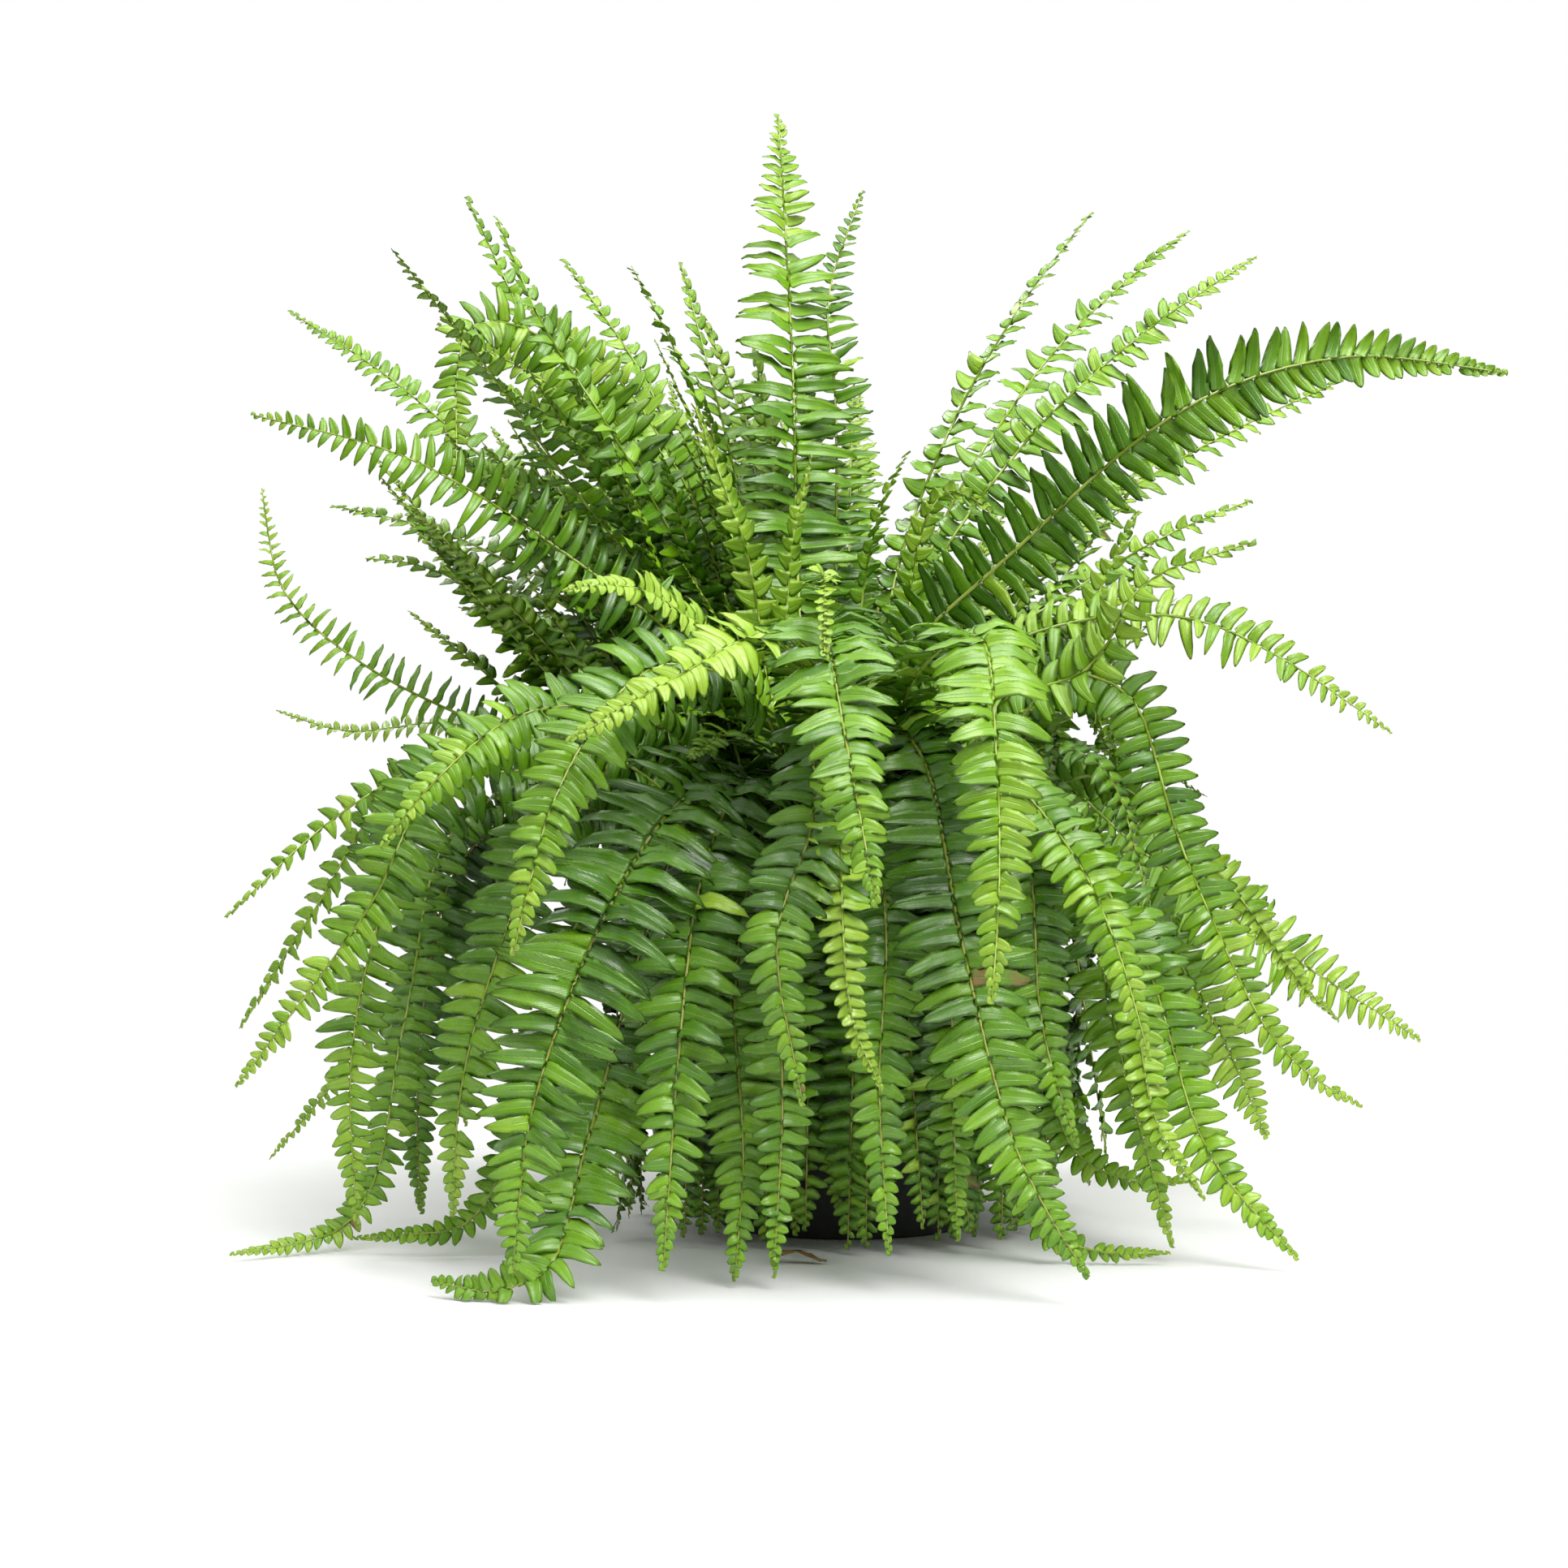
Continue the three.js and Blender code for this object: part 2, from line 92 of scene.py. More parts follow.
SPACING = 11.2 * MM  # between leaflets on one side of a full-sized frond
FULL_HALF = 30 * MM  # half-width of the blade of a full-sized frond
LEAST_SPACING = 0.62  # share of the spacing that the narrowest blades keep
BARE = 0.11  # share of a frond that is bare stem
FOOT_WIDTH = 0.4  # the blade's width at its foot, as a share of its widest
FOOT_SWELL = 3.2  # how fast it widens from there
TAPER = 0.33  # share of the blade over which it narrows to its tip
TAPER_POWER = 0.75  # below 1, the blade narrows late
STEM_RADIUS = 1.5 * MM  # at the foot
TIP_RADIUS = 0.35 * MM
STEM_SIDES = 5

# A young frond's spacing, fill and lightness of tip, as shares of its usual look, and its spacing at
# the tip as a share of that at the foot.
YOUNG_SPACING = 1.38
YOUNG_FILL = 0.8
YOUNG_LIGHT_TIP = 0.45
YOUNG_TIP_GAP = 0.55

# How the leaflets of one frond differ from each other.
FOOT_AGE_AND_SHADE = 0.3  # how much older, and darker with painted shade, those at its foot are
FOOT_SHADE_REACH = 0.4  # share of the blade over which that age and painted shade fade
TIP_SWEEP = 24  # further degrees that those at its tip lean forwards
SWEEP_SPREAD = 4.5  # degrees
AGE_SPREAD = 0.1
DRY_CHANCE = 0.0015
DRY = 0.5  # how far such a leaflet has dried
YELLOW_CHANCE = 0.003
YELLOW = 0.7  # how much lighter such a leaflet is

# ---- Material helpers ----


def new_material(name):
    """A new material, its node tree and its Principled shader."""
    material = bpy.data.materials.new(name)
    material.use_nodes = True
    tree = material.node_tree
    return material, tree, tree.nodes["Principled BSDF"]


def add(tree, kind, **values):
    """A node of a kind with its properties or unlinked inputs set by name."""
    node = tree.nodes.new(kind)
    for key, value in values.items():
        if hasattr(node, key):
            setattr(node, key, value)
        else:
            node.inputs[key.replace("_", " ")].default_value = value
    return node


def feed(tree, socket, value):
    """Gives a socket its value, or links it to the socket that the value comes from."""
    if isinstance(value, bpy.types.NodeSocket):
        tree.links.new(value, socket)
    else:
        socket.default_value = value


def mixed(tree, factor, first, second):
    """The colour between two colours, or sockets, by a factor."""
    node = tree.nodes.new("ShaderNodeMix")
    node.data_type = "RGBA"
    for number, value in ((0, factor), (6, first), (7, second)):
        feed(tree, node.inputs[number], value)
    return node.outputs[2]


def maths(tree, operation, *values):
    """One arithmetic step on numbers or sockets."""
    node = tree.nodes.new("ShaderNodeMath")
    node.operation = operation
    for socket, value in zip(node.inputs, values):
        feed(tree, socket, value)
    return node.outputs[0]


def eased(tree, value, low, high):
    """0 below low and 1 above high, with a smooth step between."""
    node = tree.nodes.new("ShaderNodeMapRange")
    node.interpolation_type = "SMOOTHSTEP"
    tree.links.new(value, node.inputs["Value"])
    node.inputs["From Min"].default_value = low
    node.inputs["From Max"].default_value = high
    return node.outputs["Result"]


def grain(tree, scale, detail=3, roughness=0.55, vector=None):
    """Noise on the piece's own place."""
    node = add(tree, "ShaderNodeTexNoise", Scale=scale, Detail=detail, Roughness=roughness)
    if vector is None:
        vector = tree.nodes.new("ShaderNodeTexCoord").outputs["Object"]
    tree.links.new(vector, node.inputs["Vector"])
    return node.outputs["Fac"]


def raised(tree, shader, height, distance, strength):
    """Bump on a shader from a height."""
    node = add(tree, "ShaderNodeBump", Strength=strength, Distance=distance)
    tree.links.new(height, node.inputs["Height"])
    tree.links.new(node.outputs["Normal"], shader.inputs["Normal"])


def ramp(tree, factor, *stops):
    """A colour read from a row of (place, colour) stops."""
    node = tree.nodes.new("ShaderNodeValToRGB")
    band = node.color_ramp
    while len(band.elements) < len(stops):
        band.elements.new(0.5)
    for element, (place, colour) in zip(band.elements, stops):
        element.position = place
        element.color = colour
    tree.links.new(factor, node.inputs["Fac"])
    return node.outputs["Color"]


# ---- Frond material ----

# The lightest green is that of new growth, brightened with a painted glow of light shining through the
# leaflets.
FRESH_AND_GLOW = (0.40, 0.64, 0.04, 1)
YOUNG = (0.205, 0.445, 0.002, 1)
GROWN = (0.083, 0.250, 0.001, 1)
DEEP = (0.028, 0.108, 0.001, 1)
STEM_FRESH = (0.34, 0.47, 0.05, 1)
STEM_RIPE = (0.30, 0.27, 0.045, 1)
DRIED = (0.27, 0.155, 0.045, 1)
PALE = (0.38, 0.54, 0.07, 1)  # midribs, veins and edges
VEINS = 115  # how closely side veins follow each other


def frond_material():
    """Leaflets and stem in one: green by age, with a pale midrib, fine veins and a few dry spots.

    The growth attribute holds a point's age, whether it is stem, and how far it has dried; near a
    frond's foot the age also holds painted shade. The leaflet map runs across a leaflet and from its
    stalk to its tip.
    """
    material, tree, shader = new_material("frond")
    growth = add(tree, "ShaderNodeAttribute", attribute_name="growth")
    parts = tree.nodes.new("ShaderNodeSeparateColor")
    tree.links.new(growth.outputs["Color"], parts.inputs["Color"])
    age, stem, dry = parts.outputs
    leaf_map = add(tree, "ShaderNodeUVMap", uv_map="leaflet")
    axes = tree.nodes.new("ShaderNodeSeparateXYZ")
    tree.links.new(leaf_map.outputs["UV"], axes.inputs["Vector"])
    sideways = maths(tree, "MULTIPLY_ADD", axes.outputs["X"], 2.0, -1.0)
    across = maths(tree, "ABSOLUTE", sideways)
    along = axes.outputs["Y"]

    mottle = grain(tree, 85, 4)
    patch = grain(tree, 14, 2)
    uneven = maths(tree, "MULTIPLY_ADD", maths(tree, "SUBTRACT", mottle, 0.5), 0.30, age)
    # The age, and so the deeper green, at a frond's foot is partly painted shade.
    ripeness_and_shade = maths(tree, "MULTIPLY_ADD", maths(tree, "SUBTRACT", patch, 0.5), 0.35, uneven)
    # The ramp's lightest stop is partly a painted glow of light through the leaflets.
    green = ramp(tree, ripeness_and_shade, (0.0, FRESH_AND_GLOW), (0.3, YOUNG), (0.68, GROWN), (1.0, DEEP))
    # Side veins leave the midrib at a slant.
    slant = maths(tree, "MULTIPLY_ADD", across, -0.25, along)
    wave = maths(tree, "SINE", maths(tree, "MULTIPLY", slant, VEINS))
    vein = eased(tree, wave, 0.35, 1.0)
    midrib = maths(tree, "SUBTRACT", 1.0, eased(tree, across, 0.02, 0.11))
    pale = mixed(tree, 0.45, green, PALE)
    veined = mixed(tree, maths(tree, "MULTIPLY", vein, 0.14), green, pale)
    ribbed = mixed(tree, maths(tree, "MULTIPLY", midrib, 0.5), veined, pale)
    edge = maths(tree, "MULTIPLY", eased(tree, across, 0.7, 1.0), 0.3)
    leaf = mixed(tree, edge, ribbed, pale)

    woody = mixed(tree, eased(tree, age, 0.5, 1.0), STEM_FRESH, STEM_RIPE)
    tissue = mixed(tree, stem, leaf, woody)
    dryness = maths(tree, "MULTIPLY_ADD", mottle, 0.5, dry)
    spots = eased(tree, dryness, 0.66, 0.86)
    tree.links.new(mixed(tree, spots, tissue, DRIED), shader.inputs["Base Color"])

    gloss = maths(tree, "MULTIPLY_ADD", mottle, 0.24, 0.16)
    tree.links.new(maths(tree, "MULTIPLY_ADD", spots, 0.3, gloss), shader.inputs["Roughness"])
    shader.inputs["Specular IOR Level"].default_value = 0.8
    groove = maths(tree, "MULTIPLY", midrib, -0.8)
    ridges = maths(tree, "MULTIPLY_ADD", vein, 0.35, groove)
    raised(tree, shader, maths(tree, "MULTIPLY_ADD", mottle, 0.8, ridges), 0.4 * MM, 0.7)
    return material


frond_finish = frond_material()

# ---- Leaflets ----

# Half-widths of a leaflet from its stalk to its tip: distance along, side towards the frond's tip, and
# side towards its foot. The first swells into the small ear beside the stalk.
OUTLINES = {
    "grown": (
        (0.0, 0.36, 0.28),
        (0.06, 0.70, 0.48),
        (0.22, 0.58, 0.52),
        (0.46, 0.50, 0.48),
        (0.70, 0.40, 0.39),
        (0.90, 0.22, 0.22),
        (1.0, 0.05, 0.05),
    ),
    "young": (
        (0.0, 0.36, 0.26),
        (0.09, 0.84, 0.50),
        (0.28, 0.70, 0.52),
        (0.50, 0.54, 0.45),
        (0.74, 0.35, 0.32),
        (0.92, 0.17, 0.17),
        (1.0, 0.04, 0.04),
    ),
}
LEAFLET_THICKNESS = 0.012  # of its length, at the midrib
RIPPLE_STEP = 2.4  # radians of the edge's ripple from row to row
MERGE = 1e-5  # of its length
FORMS = 8  # leaflet shapes per kind and hand


def leaflet_mesh(kind, hand, columns, rng):
    """A closed leaflet one unit long and one wide, lens-thin, with its stalk at the origin, its tip
    towards +X and the side nearer the frond's tip towards +Y, or -Y for the other hand."""
    outline = OUTLINES[kind]
    rows = len(outline) - 1
    young = kind == "young"
    # How far it leans forwards, hangs, swells, folds along its midrib, and ripples at its edges.
    sweep = rng.uniform(0.35, 0.75) if young else rng.uniform(0.05, 0.4)
    droop = rng.uniform(-0.10, 0.26) if young else rng.uniform(0.0, 0.24)
    hump = rng.uniform(-0.01, 0.17)
    fold = rng.uniform(-0.09, 0.09)
    ripple = rng.uniform(0.015, 0.055)
    phase = rng.uniform(0, math.tau)
    bm = bmesh.new()
    bmesh.ops.create_grid(bm, x_segments=rows, y_segments=columns, size=0.5, calc_uvs=False)
    uv = bm.loops.layers.uv.new("leaflet")
    for face in bm.faces:
        for loop in face.loops:
            loop[uv].uv = (loop.vert.co.y + 0.5, loop.vert.co.x + 0.5)
    body = {}
    for vert in bm.verts:
        row = round((vert.co.x + 0.5) * rows)
        share = 2 * vert.co.y
        along, ahead, behind = outline[row]
        half = ahead if share > 0 else behind
        wave = ripple * math.sin(RIPPLE_STEP * row + 3 * share + phase) * abs(share)
        lift = hump * math.sin(math.pi * along) + wave
        vert.co = (
            along,
            share * half + sweep * along**2,
            fold * abs(share) ** 1.3 * math.sqrt(half) + lift - droop * along**2,
        )
        body[vert] = (1 - abs(share)) * (0.4 + 2.4 * along * (1 - along)) * (0 < row < rows)
    under = bmesh.ops.duplicate(bm, geom=bm.verts[:] + bm.edges[:] + bm.faces[:])
    lower = [part for part in under["geom"] if isinstance(part, bmesh.types.BMFace)]
    bmesh.ops.reverse_faces(bm, faces=lower)
    for vert, copy in under["vert_map"].items():
        if vert in body:
            copy.co.z -= LEAFLET_THICKNESS * body[vert]
    bmesh.ops.remove_doubles(bm, verts=bm.verts, dist=MERGE)
    if hand < 0:
        bmesh.ops.scale(bm, vec=(1, -1, 1), verts=bm.verts)
        bmesh.ops.reverse_faces(bm, faces=bm.faces)
    for face in bm.faces:
        face.smooth = True
    mesh = bpy.data.meshes.new(f"leaflet_{kind}")
    bm.to_mesh(mesh)
    bm.free()
    return mesh


shape_rng = random.Random(5)
LEAFLETS = {
    (kind, hand, columns): [leaflet_mesh(kind, hand, columns, shape_rng) for _ in range(FORMS)]
    for kind in OUTLINES
    for hand in (1, -1)
    for columns in (2, 4)
}

# ---- Midribs ----

CURVE_STEPS = 8  # between one given point and the next


def frond_rings(node):
    """The centre and the two far corners of each ring of a frond's solid, outwards from its foot."""
    bm = bmesh.new()
    bm.from_mesh(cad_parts[node].data)
    bmesh.ops.remove_doubles(bm, verts=bm.verts, dist=1e-6)
    bm.verts.index_update()
    foot = min(bm.verts, key=lambda v: (v.co - CROWN_TOP).length)
    seen = {foot}
    front = [foot]
    rings = []
    while front:
        front = {edge.other_vert(v) for v in front for edge in v.link_edges} - seen
        front = sorted(front, key=lambda v: v.index)
        seen.update(front)
        if front:
            rings.append([v.co.copy() for v in front])
    start = foot.co.copy()
    bm.free()
    return start, rings


def read_frond(node):
    """A frond's midrib points, the direction across its blade at each, and its widest half-width."""
    start, rings = frond_rings(node)
    points, sides, widths = [start], [], []
    for ring in rings:
        centre = sum(ring, Vector()) / len(ring)
        points.append(centre)
        if len(ring) > 1:
            far = max(ring, key=lambda p: (p - centre).length)
            side = far - centre
            if sides and side.dot(sides[-1]) < 0:
                side = -side
            sides.append(side.normalized())
            widths.append(side.length)
    sides = [sides[0], *sides, sides[-1]]
    reach = [0.0]
    for a, b in zip(points, points[1:]):
        reach.append(reach[-1] + (b - a).length)
    half = 0
    # The rings at the very foot and tip are too narrow to tell.
    for k, width in enumerate(widths, 1):
        share = blade_share(reach[k] / reach[-1])
        if 0.1 < share < 0.93:
            half = max(half, width / blade_width(share))
    return points, sides, half


def blade_share(share):
    """The share of the blade that lies below a share of the frond."""
    return (share - BARE) / (1 - BARE)


def blade_width(share):
    """The blade's half-width at a share of its own length, of the widest."""
    swell = min(1, FOOT_WIDTH + FOOT_SWELL * share)
    return swell * min(1, (max(1 - share, 0) / TAPER) ** TAPER_POWER)


def spread(points, sides, count):
    """Evenly spaced stations on a smooth curve through the points, as (point, across) pairs."""
    padded = [2 * points[0] - points[1], *points, 2 * points[-1] - points[-2]]
    fine = []
    for k in range(len(points) - 1):
        p0, p1, p2, p3 = padded[k : k + 4]
        for step in range(CURVE_STEPS):
            t = step / CURVE_STEPS
            point = 0.5 * (
                2 * p1
                + (p2 - p0) * t
                + (2 * p0 - 5 * p1 + 4 * p2 - p3) * t**2
                + (3 * p1 - p0 - 3 * p2 + p3) * t**3
            )
            fine.append((point, sides[k].lerp(sides[k + 1], t)))
    fine.append((points[-1], sides[-1]))
    reach = [0.0]
    for (a, _), (b, _) in zip(fine, fine[1:]):
        reach.append(reach[-1] + (b - a).length)
    stations = []
    k = 0
    for n in range(count + 1):
        goal = reach[-1] * n / count
        while k < len(fine) - 2 and reach[k + 1] < goal:
            k += 1
        t = (goal - reach[k]) / max(reach[k + 1] - reach[k], 1e-9)
        (a, u), (b, v) = fine[k], fine[k + 1]
        stations.append((a.lerp(b, t), u.lerp(v, t)))
    return stations, reach[-1]


class Midrib:
    """A frond's midrib, read at any share of its length, with the blade's upper side up."""

    STEPS = 90

    def __init__(self, points, sides, face=0):
        self.stations, self.length = spread(points, sides, self.STEPS)
        self.stations = [
            (point, self.turned(k, side, face)) for k, (point, side) in enumerate(self.stations)
        ]
        middle = max(range(3, self.STEPS), key=lambda k: abs(self.at(k / self.STEPS)[3].z))
        if self.at(middle / self.STEPS)[3].z < 0:
            self.stations = [(point, -side) for point, side in self.stations]

    def turned(self, k, side, face):
        """The way across at a station, brought part of the way to face the display side."""
        before = self.stations[max(k - 1, 0)][0]
        after = self.stations[min(k + 1, self.STEPS)][0]
        shown = (after - before).normalized().cross(DISPLAY)
        if shown.dot(side) < 0:
            shown = -shown
        return side.normalized().lerp(shown, face * shown.length)

    def at(self, share):
        """The point, the way along, the way across and the blade's upper side."""
        place = min(max(share, 0), 1) * self.STEPS
        k = min(int(place), self.STEPS - 1)
        t = place - k
        (a, u), (b, v) = self.stations[k], self.stations[k + 1]
        before = self.stations[max(k - 1, 0)][0]
        after = self.stations[min(k + 2, self.STEPS)][0]
        along = (after - before).normalized()
        side = u.lerp(v, t)
        side = (side - along * side.dot(along)).normalized()
        return a.lerp(b, t), along, side, side.cross(along)


# ---- Fronds ----


def stem_tube(midrib, foot_radius, tip_radius=TIP_RADIUS, steps=36):
    """A tapering stem along a midrib, drawn out of a small circle ring by ring."""
    bm = bmesh.new()
    bm.loops.layers.uv.new("leaflet")
    bmesh.ops.create_circle(bm, cap_ends=True, segments=STEM_SIDES, radius=1)
    corners = [v.co.copy() for v in bm.verts]
    ring = bm.verts[:]
    face = bm.faces[:][0]
    for k in range(steps + 1):
        point, _, side, normal = midrib.at(k / steps)
        radius = tip_radius + (foot_radius - tip_radius) * (1 - k / steps) ** 0.65
        if k:
            made = bmesh.ops.extrude_face_region(bm, geom=[face])["geom"]
            face = next(part for part in made if isinstance(part, bmesh.types.BMFace))
            ring = order_like(ring, made)
        for vert, corner in zip(ring, corners):
            vert.co = point + radius * (side * corner.x + normal * corner.y)
    bmesh.ops.recalc_face_normals(bm, faces=bm.faces)
    for part in bm.faces:
        part.smooth = True
    return bm


def order_like(ring, made):
    """The new ring's corners, in the order of the ring that they were drawn from."""
    fresh = {part for part in made if isinstance(part, bmesh.types.BMVert)}
    return [next(e.other_vert(v) for e in v.link_edges if e.other_vert(v) in fresh) for v in ring]


def turned_pair(a, b, angle):
    """Two directions at right angles, both turned from the first towards the second."""
    return a * math.cos(angle) + b * math.sin(angle), b * math.cos(angle) - a * math.sin(angle)


def leaflet_place(midrib, share, hand, length, width, look, rng):
    """The matrix that sets a unit leaflet on the midrib."""
    point, along, side, normal = midrib.at(share)
    forward = TIP_SWEEP * max(share - 0.6, 0) / 0.4
    sweep = math.radians(look["sweep"] + forward + rng.gauss(0, SWEEP_SPREAD))
    lift = math.radians(look["lift"] + rng.gauss(0, look["loose"]))
    twist = math.radians(look["twist"] + rng.gauss(0, look["loose"]))
    out = (hand * side) * math.cos(sweep) + along * math.sin(sweep)
    ahead = along * math.cos(sweep) - (hand * side) * math.sin(sweep)
    out, above = turned_pair(out, normal, lift)
    above, ahead = turned_pair(above, ahead, twist)
    turn = Matrix((out * length, hand * ahead * width, above * length)).transposed().to_4x4()
    return Matrix.Translation(point) @ turn


LOOK = {
    "kind": "grown",
    "age": 0.75,  # 0 for the lightest green, 1 for the deepest
    "sweep": 3,  # degrees that leaflets lean towards the tip
    "lift": 2,  # degrees that they rise from the blade's plane
    "twist": 9,  # degrees that each is turned about its own midrib
    "loose": 9,  # spread of both
    "fill": 1.0,  # leaflet width as a share of their spacing
    "spacing": SPACING,
    "tip_gap": 0.36,  # spacing at the tip as a share of that at the foot
    "light_tip": 0.55,  # how much younger the tip is
    "columns": 4,  # faces across a leaflet
    "lost": 0.01,  # share of leaflets that have dropped off
}


def grow_frond(name, midrib, half, rng, **changes):
    """One frond as a single piece: its stem and two rows of leaflets."""
    look = {**LOOK, **changes}
    # A young frond's leaflets stand further apart, and its tip is little lighter than the rest.
    if look["kind"] == "young":
        look["spacing"] *= YOUNG_SPACING
        look["fill"] *= YOUNG_FILL
        look["tip_gap"] = YOUNG_TIP_GAP
        look["light_tip"] *= YOUNG_LIGHT_TIP
    bm = stem_tube(midrib, STEM_RADIUS * min(1.15, 0.5 + midrib.length))
    growth = [(look["age"], 1.0, 0.0, 1.0)] * len(bm.verts)
    scale = min(1.0, LEAST_SPACING + (1 - LEAST_SPACING) * half / FULL_HALF)
    travelled = BARE * midrib.length
    while travelled < midrib.length - 1.5 * MM:
        share = travelled / midrib.length
        full = blade_width(blade_share(share))
        gap = look["spacing"] * scale * (look["tip_gap"] + (1 - look["tip_gap"]) * full**0.8)
        for hand in (1, -1):
            spot = share + (0.5 * gap / midrib.length if hand > 0 else 0)
            length = half * max(full * rng.uniform(0.88, 1.08), 0.25 * look["tip_gap"])
            width = gap * look["fill"] * rng.uniform(0.92, 1.1)
            form = rng.choice(LEAFLETS[look["kind"], hand, look["columns"]])
            place = leaflet_place(midrib, spot, hand, length, width, look, rng)
            reach = blade_share(spot)
            # Leaflets near the foot are set older and deeper green: partly their real age, partly
            # painted shade from the fronds above.
            ripeness_and_shade = look["age"] + FOOT_AGE_AND_SHADE * max(0, FOOT_SHADE_REACH - reach) / FOOT_SHADE_REACH
            ripeness_and_shade -= look["light_tip"] * max(0, reach - 0.5) / 0.5 + rng.gauss(0, AGE_SPREAD)
            dry = DRY if rng.random() < DRY_CHANCE else 0.0
            ripeness_and_shade -= YELLOW if rng.random() < YELLOW_CHANCE else 0.0
            if spot > 1 or rng.random() < look["lost"]:
                continue
            leaf = form.copy()
            leaf.transform(place)
            before = len(bm.verts)
            bm.from_mesh(leaf)
            bpy.data.meshes.remove(leaf)
            growth += [(min(max(ripeness_and_shade, 0), 1), 0.0, dry, 1.0)] * (len(bm.verts) - before)
        travelled += gap
    for vert in bm.verts:
        vert.co.z = max(vert.co.z, FLOOR_GAP)
    return frond_piece(name, bm, growth)


def frond_piece(name, bm, growth):
    """The finished piece from a frond's faces and the growth of each of its points."""
    mesh = bpy.data.meshes.new(name)
    bm.to_mesh(mesh)
    bm.free()
    layer = mesh.attributes.new("growth", "FLOAT_COLOR", "POINT")
    layer.data.foreach_set("color", [value for row in growth for value in row])
    mesh.materials.append(frond_finish)
    piece = bpy.data.objects.new(name, mesh)
    scene.collection.objects.link(piece)
    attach(piece, "root")
    return piece


# How the fronds of each group of the frame differ from the usual look. Face is how far the blade is
# turned to the display side, and wide is its width as a share of its solid's.
FROND_LOOKS = {
    "upright": {"kind": "young", "age": 0.45, "fill": 0.95, "loose": 12, "twist": 16},
    "upper_left": {"age": 0.6, "fill": 0.82, "wide": 1.08, "loose": 10, "twist": 14, "light_tip": 0.4},
    "upper_right": {"age": 0.5, "fill": 0.84, "loose": 10, "twist": 14, "light_tip": 0.4},
    "left": {"age": 0.62, "fill": 0.88, "twist": 12, "face": 0.2},
    "front_left": {"age": 0.68, "face": 0.4},
    "front": {"age": 0.78, "loose": 10, "face": 0.6, "wide": 1.08, "light_tip": 0.4},
    "front_right": {"age": 0.6, "face": 0.4},
    "right": {"age": 0.56, "fill": 0.9, "face": 0.3},
    "back": {"age": 0.7},
}

# Fronds with a look of their own.
SINGLE_LOOKS = {
    "frond_upright_1": {
        "kind": "grown", "age": 0.58, "fill": 0.88, "twist": 14, "light_tip": 0.5, "wide": 1.3,
    },
    "frond_upright_2": {
        "kind": "grown", "age": 0.7, "fill": 0.72, "twist": 20, "light_tip": 0.2, "wide": 0.85,
    },
    "frond_upper_left_1": {"kind": "young", "age": 0.46},
    "frond_upper_left_2": {"kind": "young", "age": 0.5},
    "frond_upper_left_4": {"age": 0.5, "wide": 1.35, "face": 0.9},
    "frond_upper_left_6": {"age": 0.66, "fill": 0.62},
    "frond_upper_left_7": {"kind": "young", "age": 0.42},
    "frond_upper_left_8": {"kind": "young", "age": 0.38},
    "frond_upper_right_1": {"kind": "young", "age": 0.4},
    "frond_upper_right_3": {"age": 0.66, "fill": 0.98, "twist": 8, "loose": 4, "sweep": 10},
    "frond_upper_right_4": {"kind": "young", "age": 0.34},
    "frond_upper_right_5": {"kind": "young", "age": 0.34},
    "frond_upper_right_6": {"kind": "young", "age": 0.32},
    "frond_upper_right_7": {"age": 0.3, "fill": 0.7},
    "frond_left_1": {"age": 0.55, "fill": 0.48, "twist": 28},
    "frond_left_2": {"age": 0.3, "fill": 0.7},
    "frond_left_3": {"age": 0.4, "fill": 0.7, "kind": "young"},
    "frond_left_4": {"age": 0.42, "kind": "young"},
    "frond_front_left_3": {"age": 0.16, "light_tip": 0.3},
    "frond_front_left_5": {"age": 0.26},
    "frond_front_6": {"age": 0.66, "light_tip": 0.35},
    "frond_front_9": {"age": 0.5},
    "frond_right_1": {"wide": 0.86},
    "frond_right_2": {"age": 0.4, "fill": 0.72, "wide": 1.3},
    "frond_right_3": {"wide": 1.2},
}

for node in sorted(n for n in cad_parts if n.startswith("frond_")):
    points, sides, half = read_frond(node)
    group = node.removeprefix("frond_").rsplit("_", 1)[0]
    changes = {**FROND_LOOKS[group], **SINGLE_LOOKS.get(node, {})}
    midrib = Midrib(points, sides, changes.pop("face", 0))
    half *= changes.pop("wide", 1)
    piece = grow_frond(f"leafy_{node}", midrib, half, random.Random(node), **changes)
    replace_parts(piece, node)

# ---- Pot ----

POT_HEIGHT = 175 * MM
POT_BASE = 85 * MM  # outside radius at the foot
POT_TOP = 119 * MM  # outside radius under the rim
POT_WALL = 2 * MM
POT_FLOOR = 3 * MM
RIM_DEPTH = 13 * MM
DRAIN_HOLES = 8
DRAIN_RADIUS = 4 * MM
DRAIN_CIRCLE = 62 * MM
LUGS = 4
LUG_SIZE = (6 * MM, 12 * MM, 7 * MM)
LUG_DROP = 3 * MM  # its middle, below the rim's foot
LUG_SUNK = 1.2 * MM  # into the wall
LUG_ROUND = 0.9 * MM
SHARP = 35  # degrees between faces, past which an edge is shaded as one


def spun(profile, steps=96):
    """A closed body turned round the pot's axis from a profile that starts and ends on the axis."""
    bm = bmesh.new()
    verts = [bm.verts.new((r, 0, z)) for r, z in profile]
    edges = [bm.edges.new(pair) for pair in zip(verts, verts[1:])]
    bmesh.ops.spin(
        bm, geom=verts + edges, axis=UP, cent=(0, 0, 0), angle=math.tau, steps=steps, use_merge=True
    )
    bmesh.ops.remove_doubles(bm, verts=bm.verts, dist=1e-6)
    bmesh.ops.recalc_face_normals(bm, faces=bm.faces)
    return bm


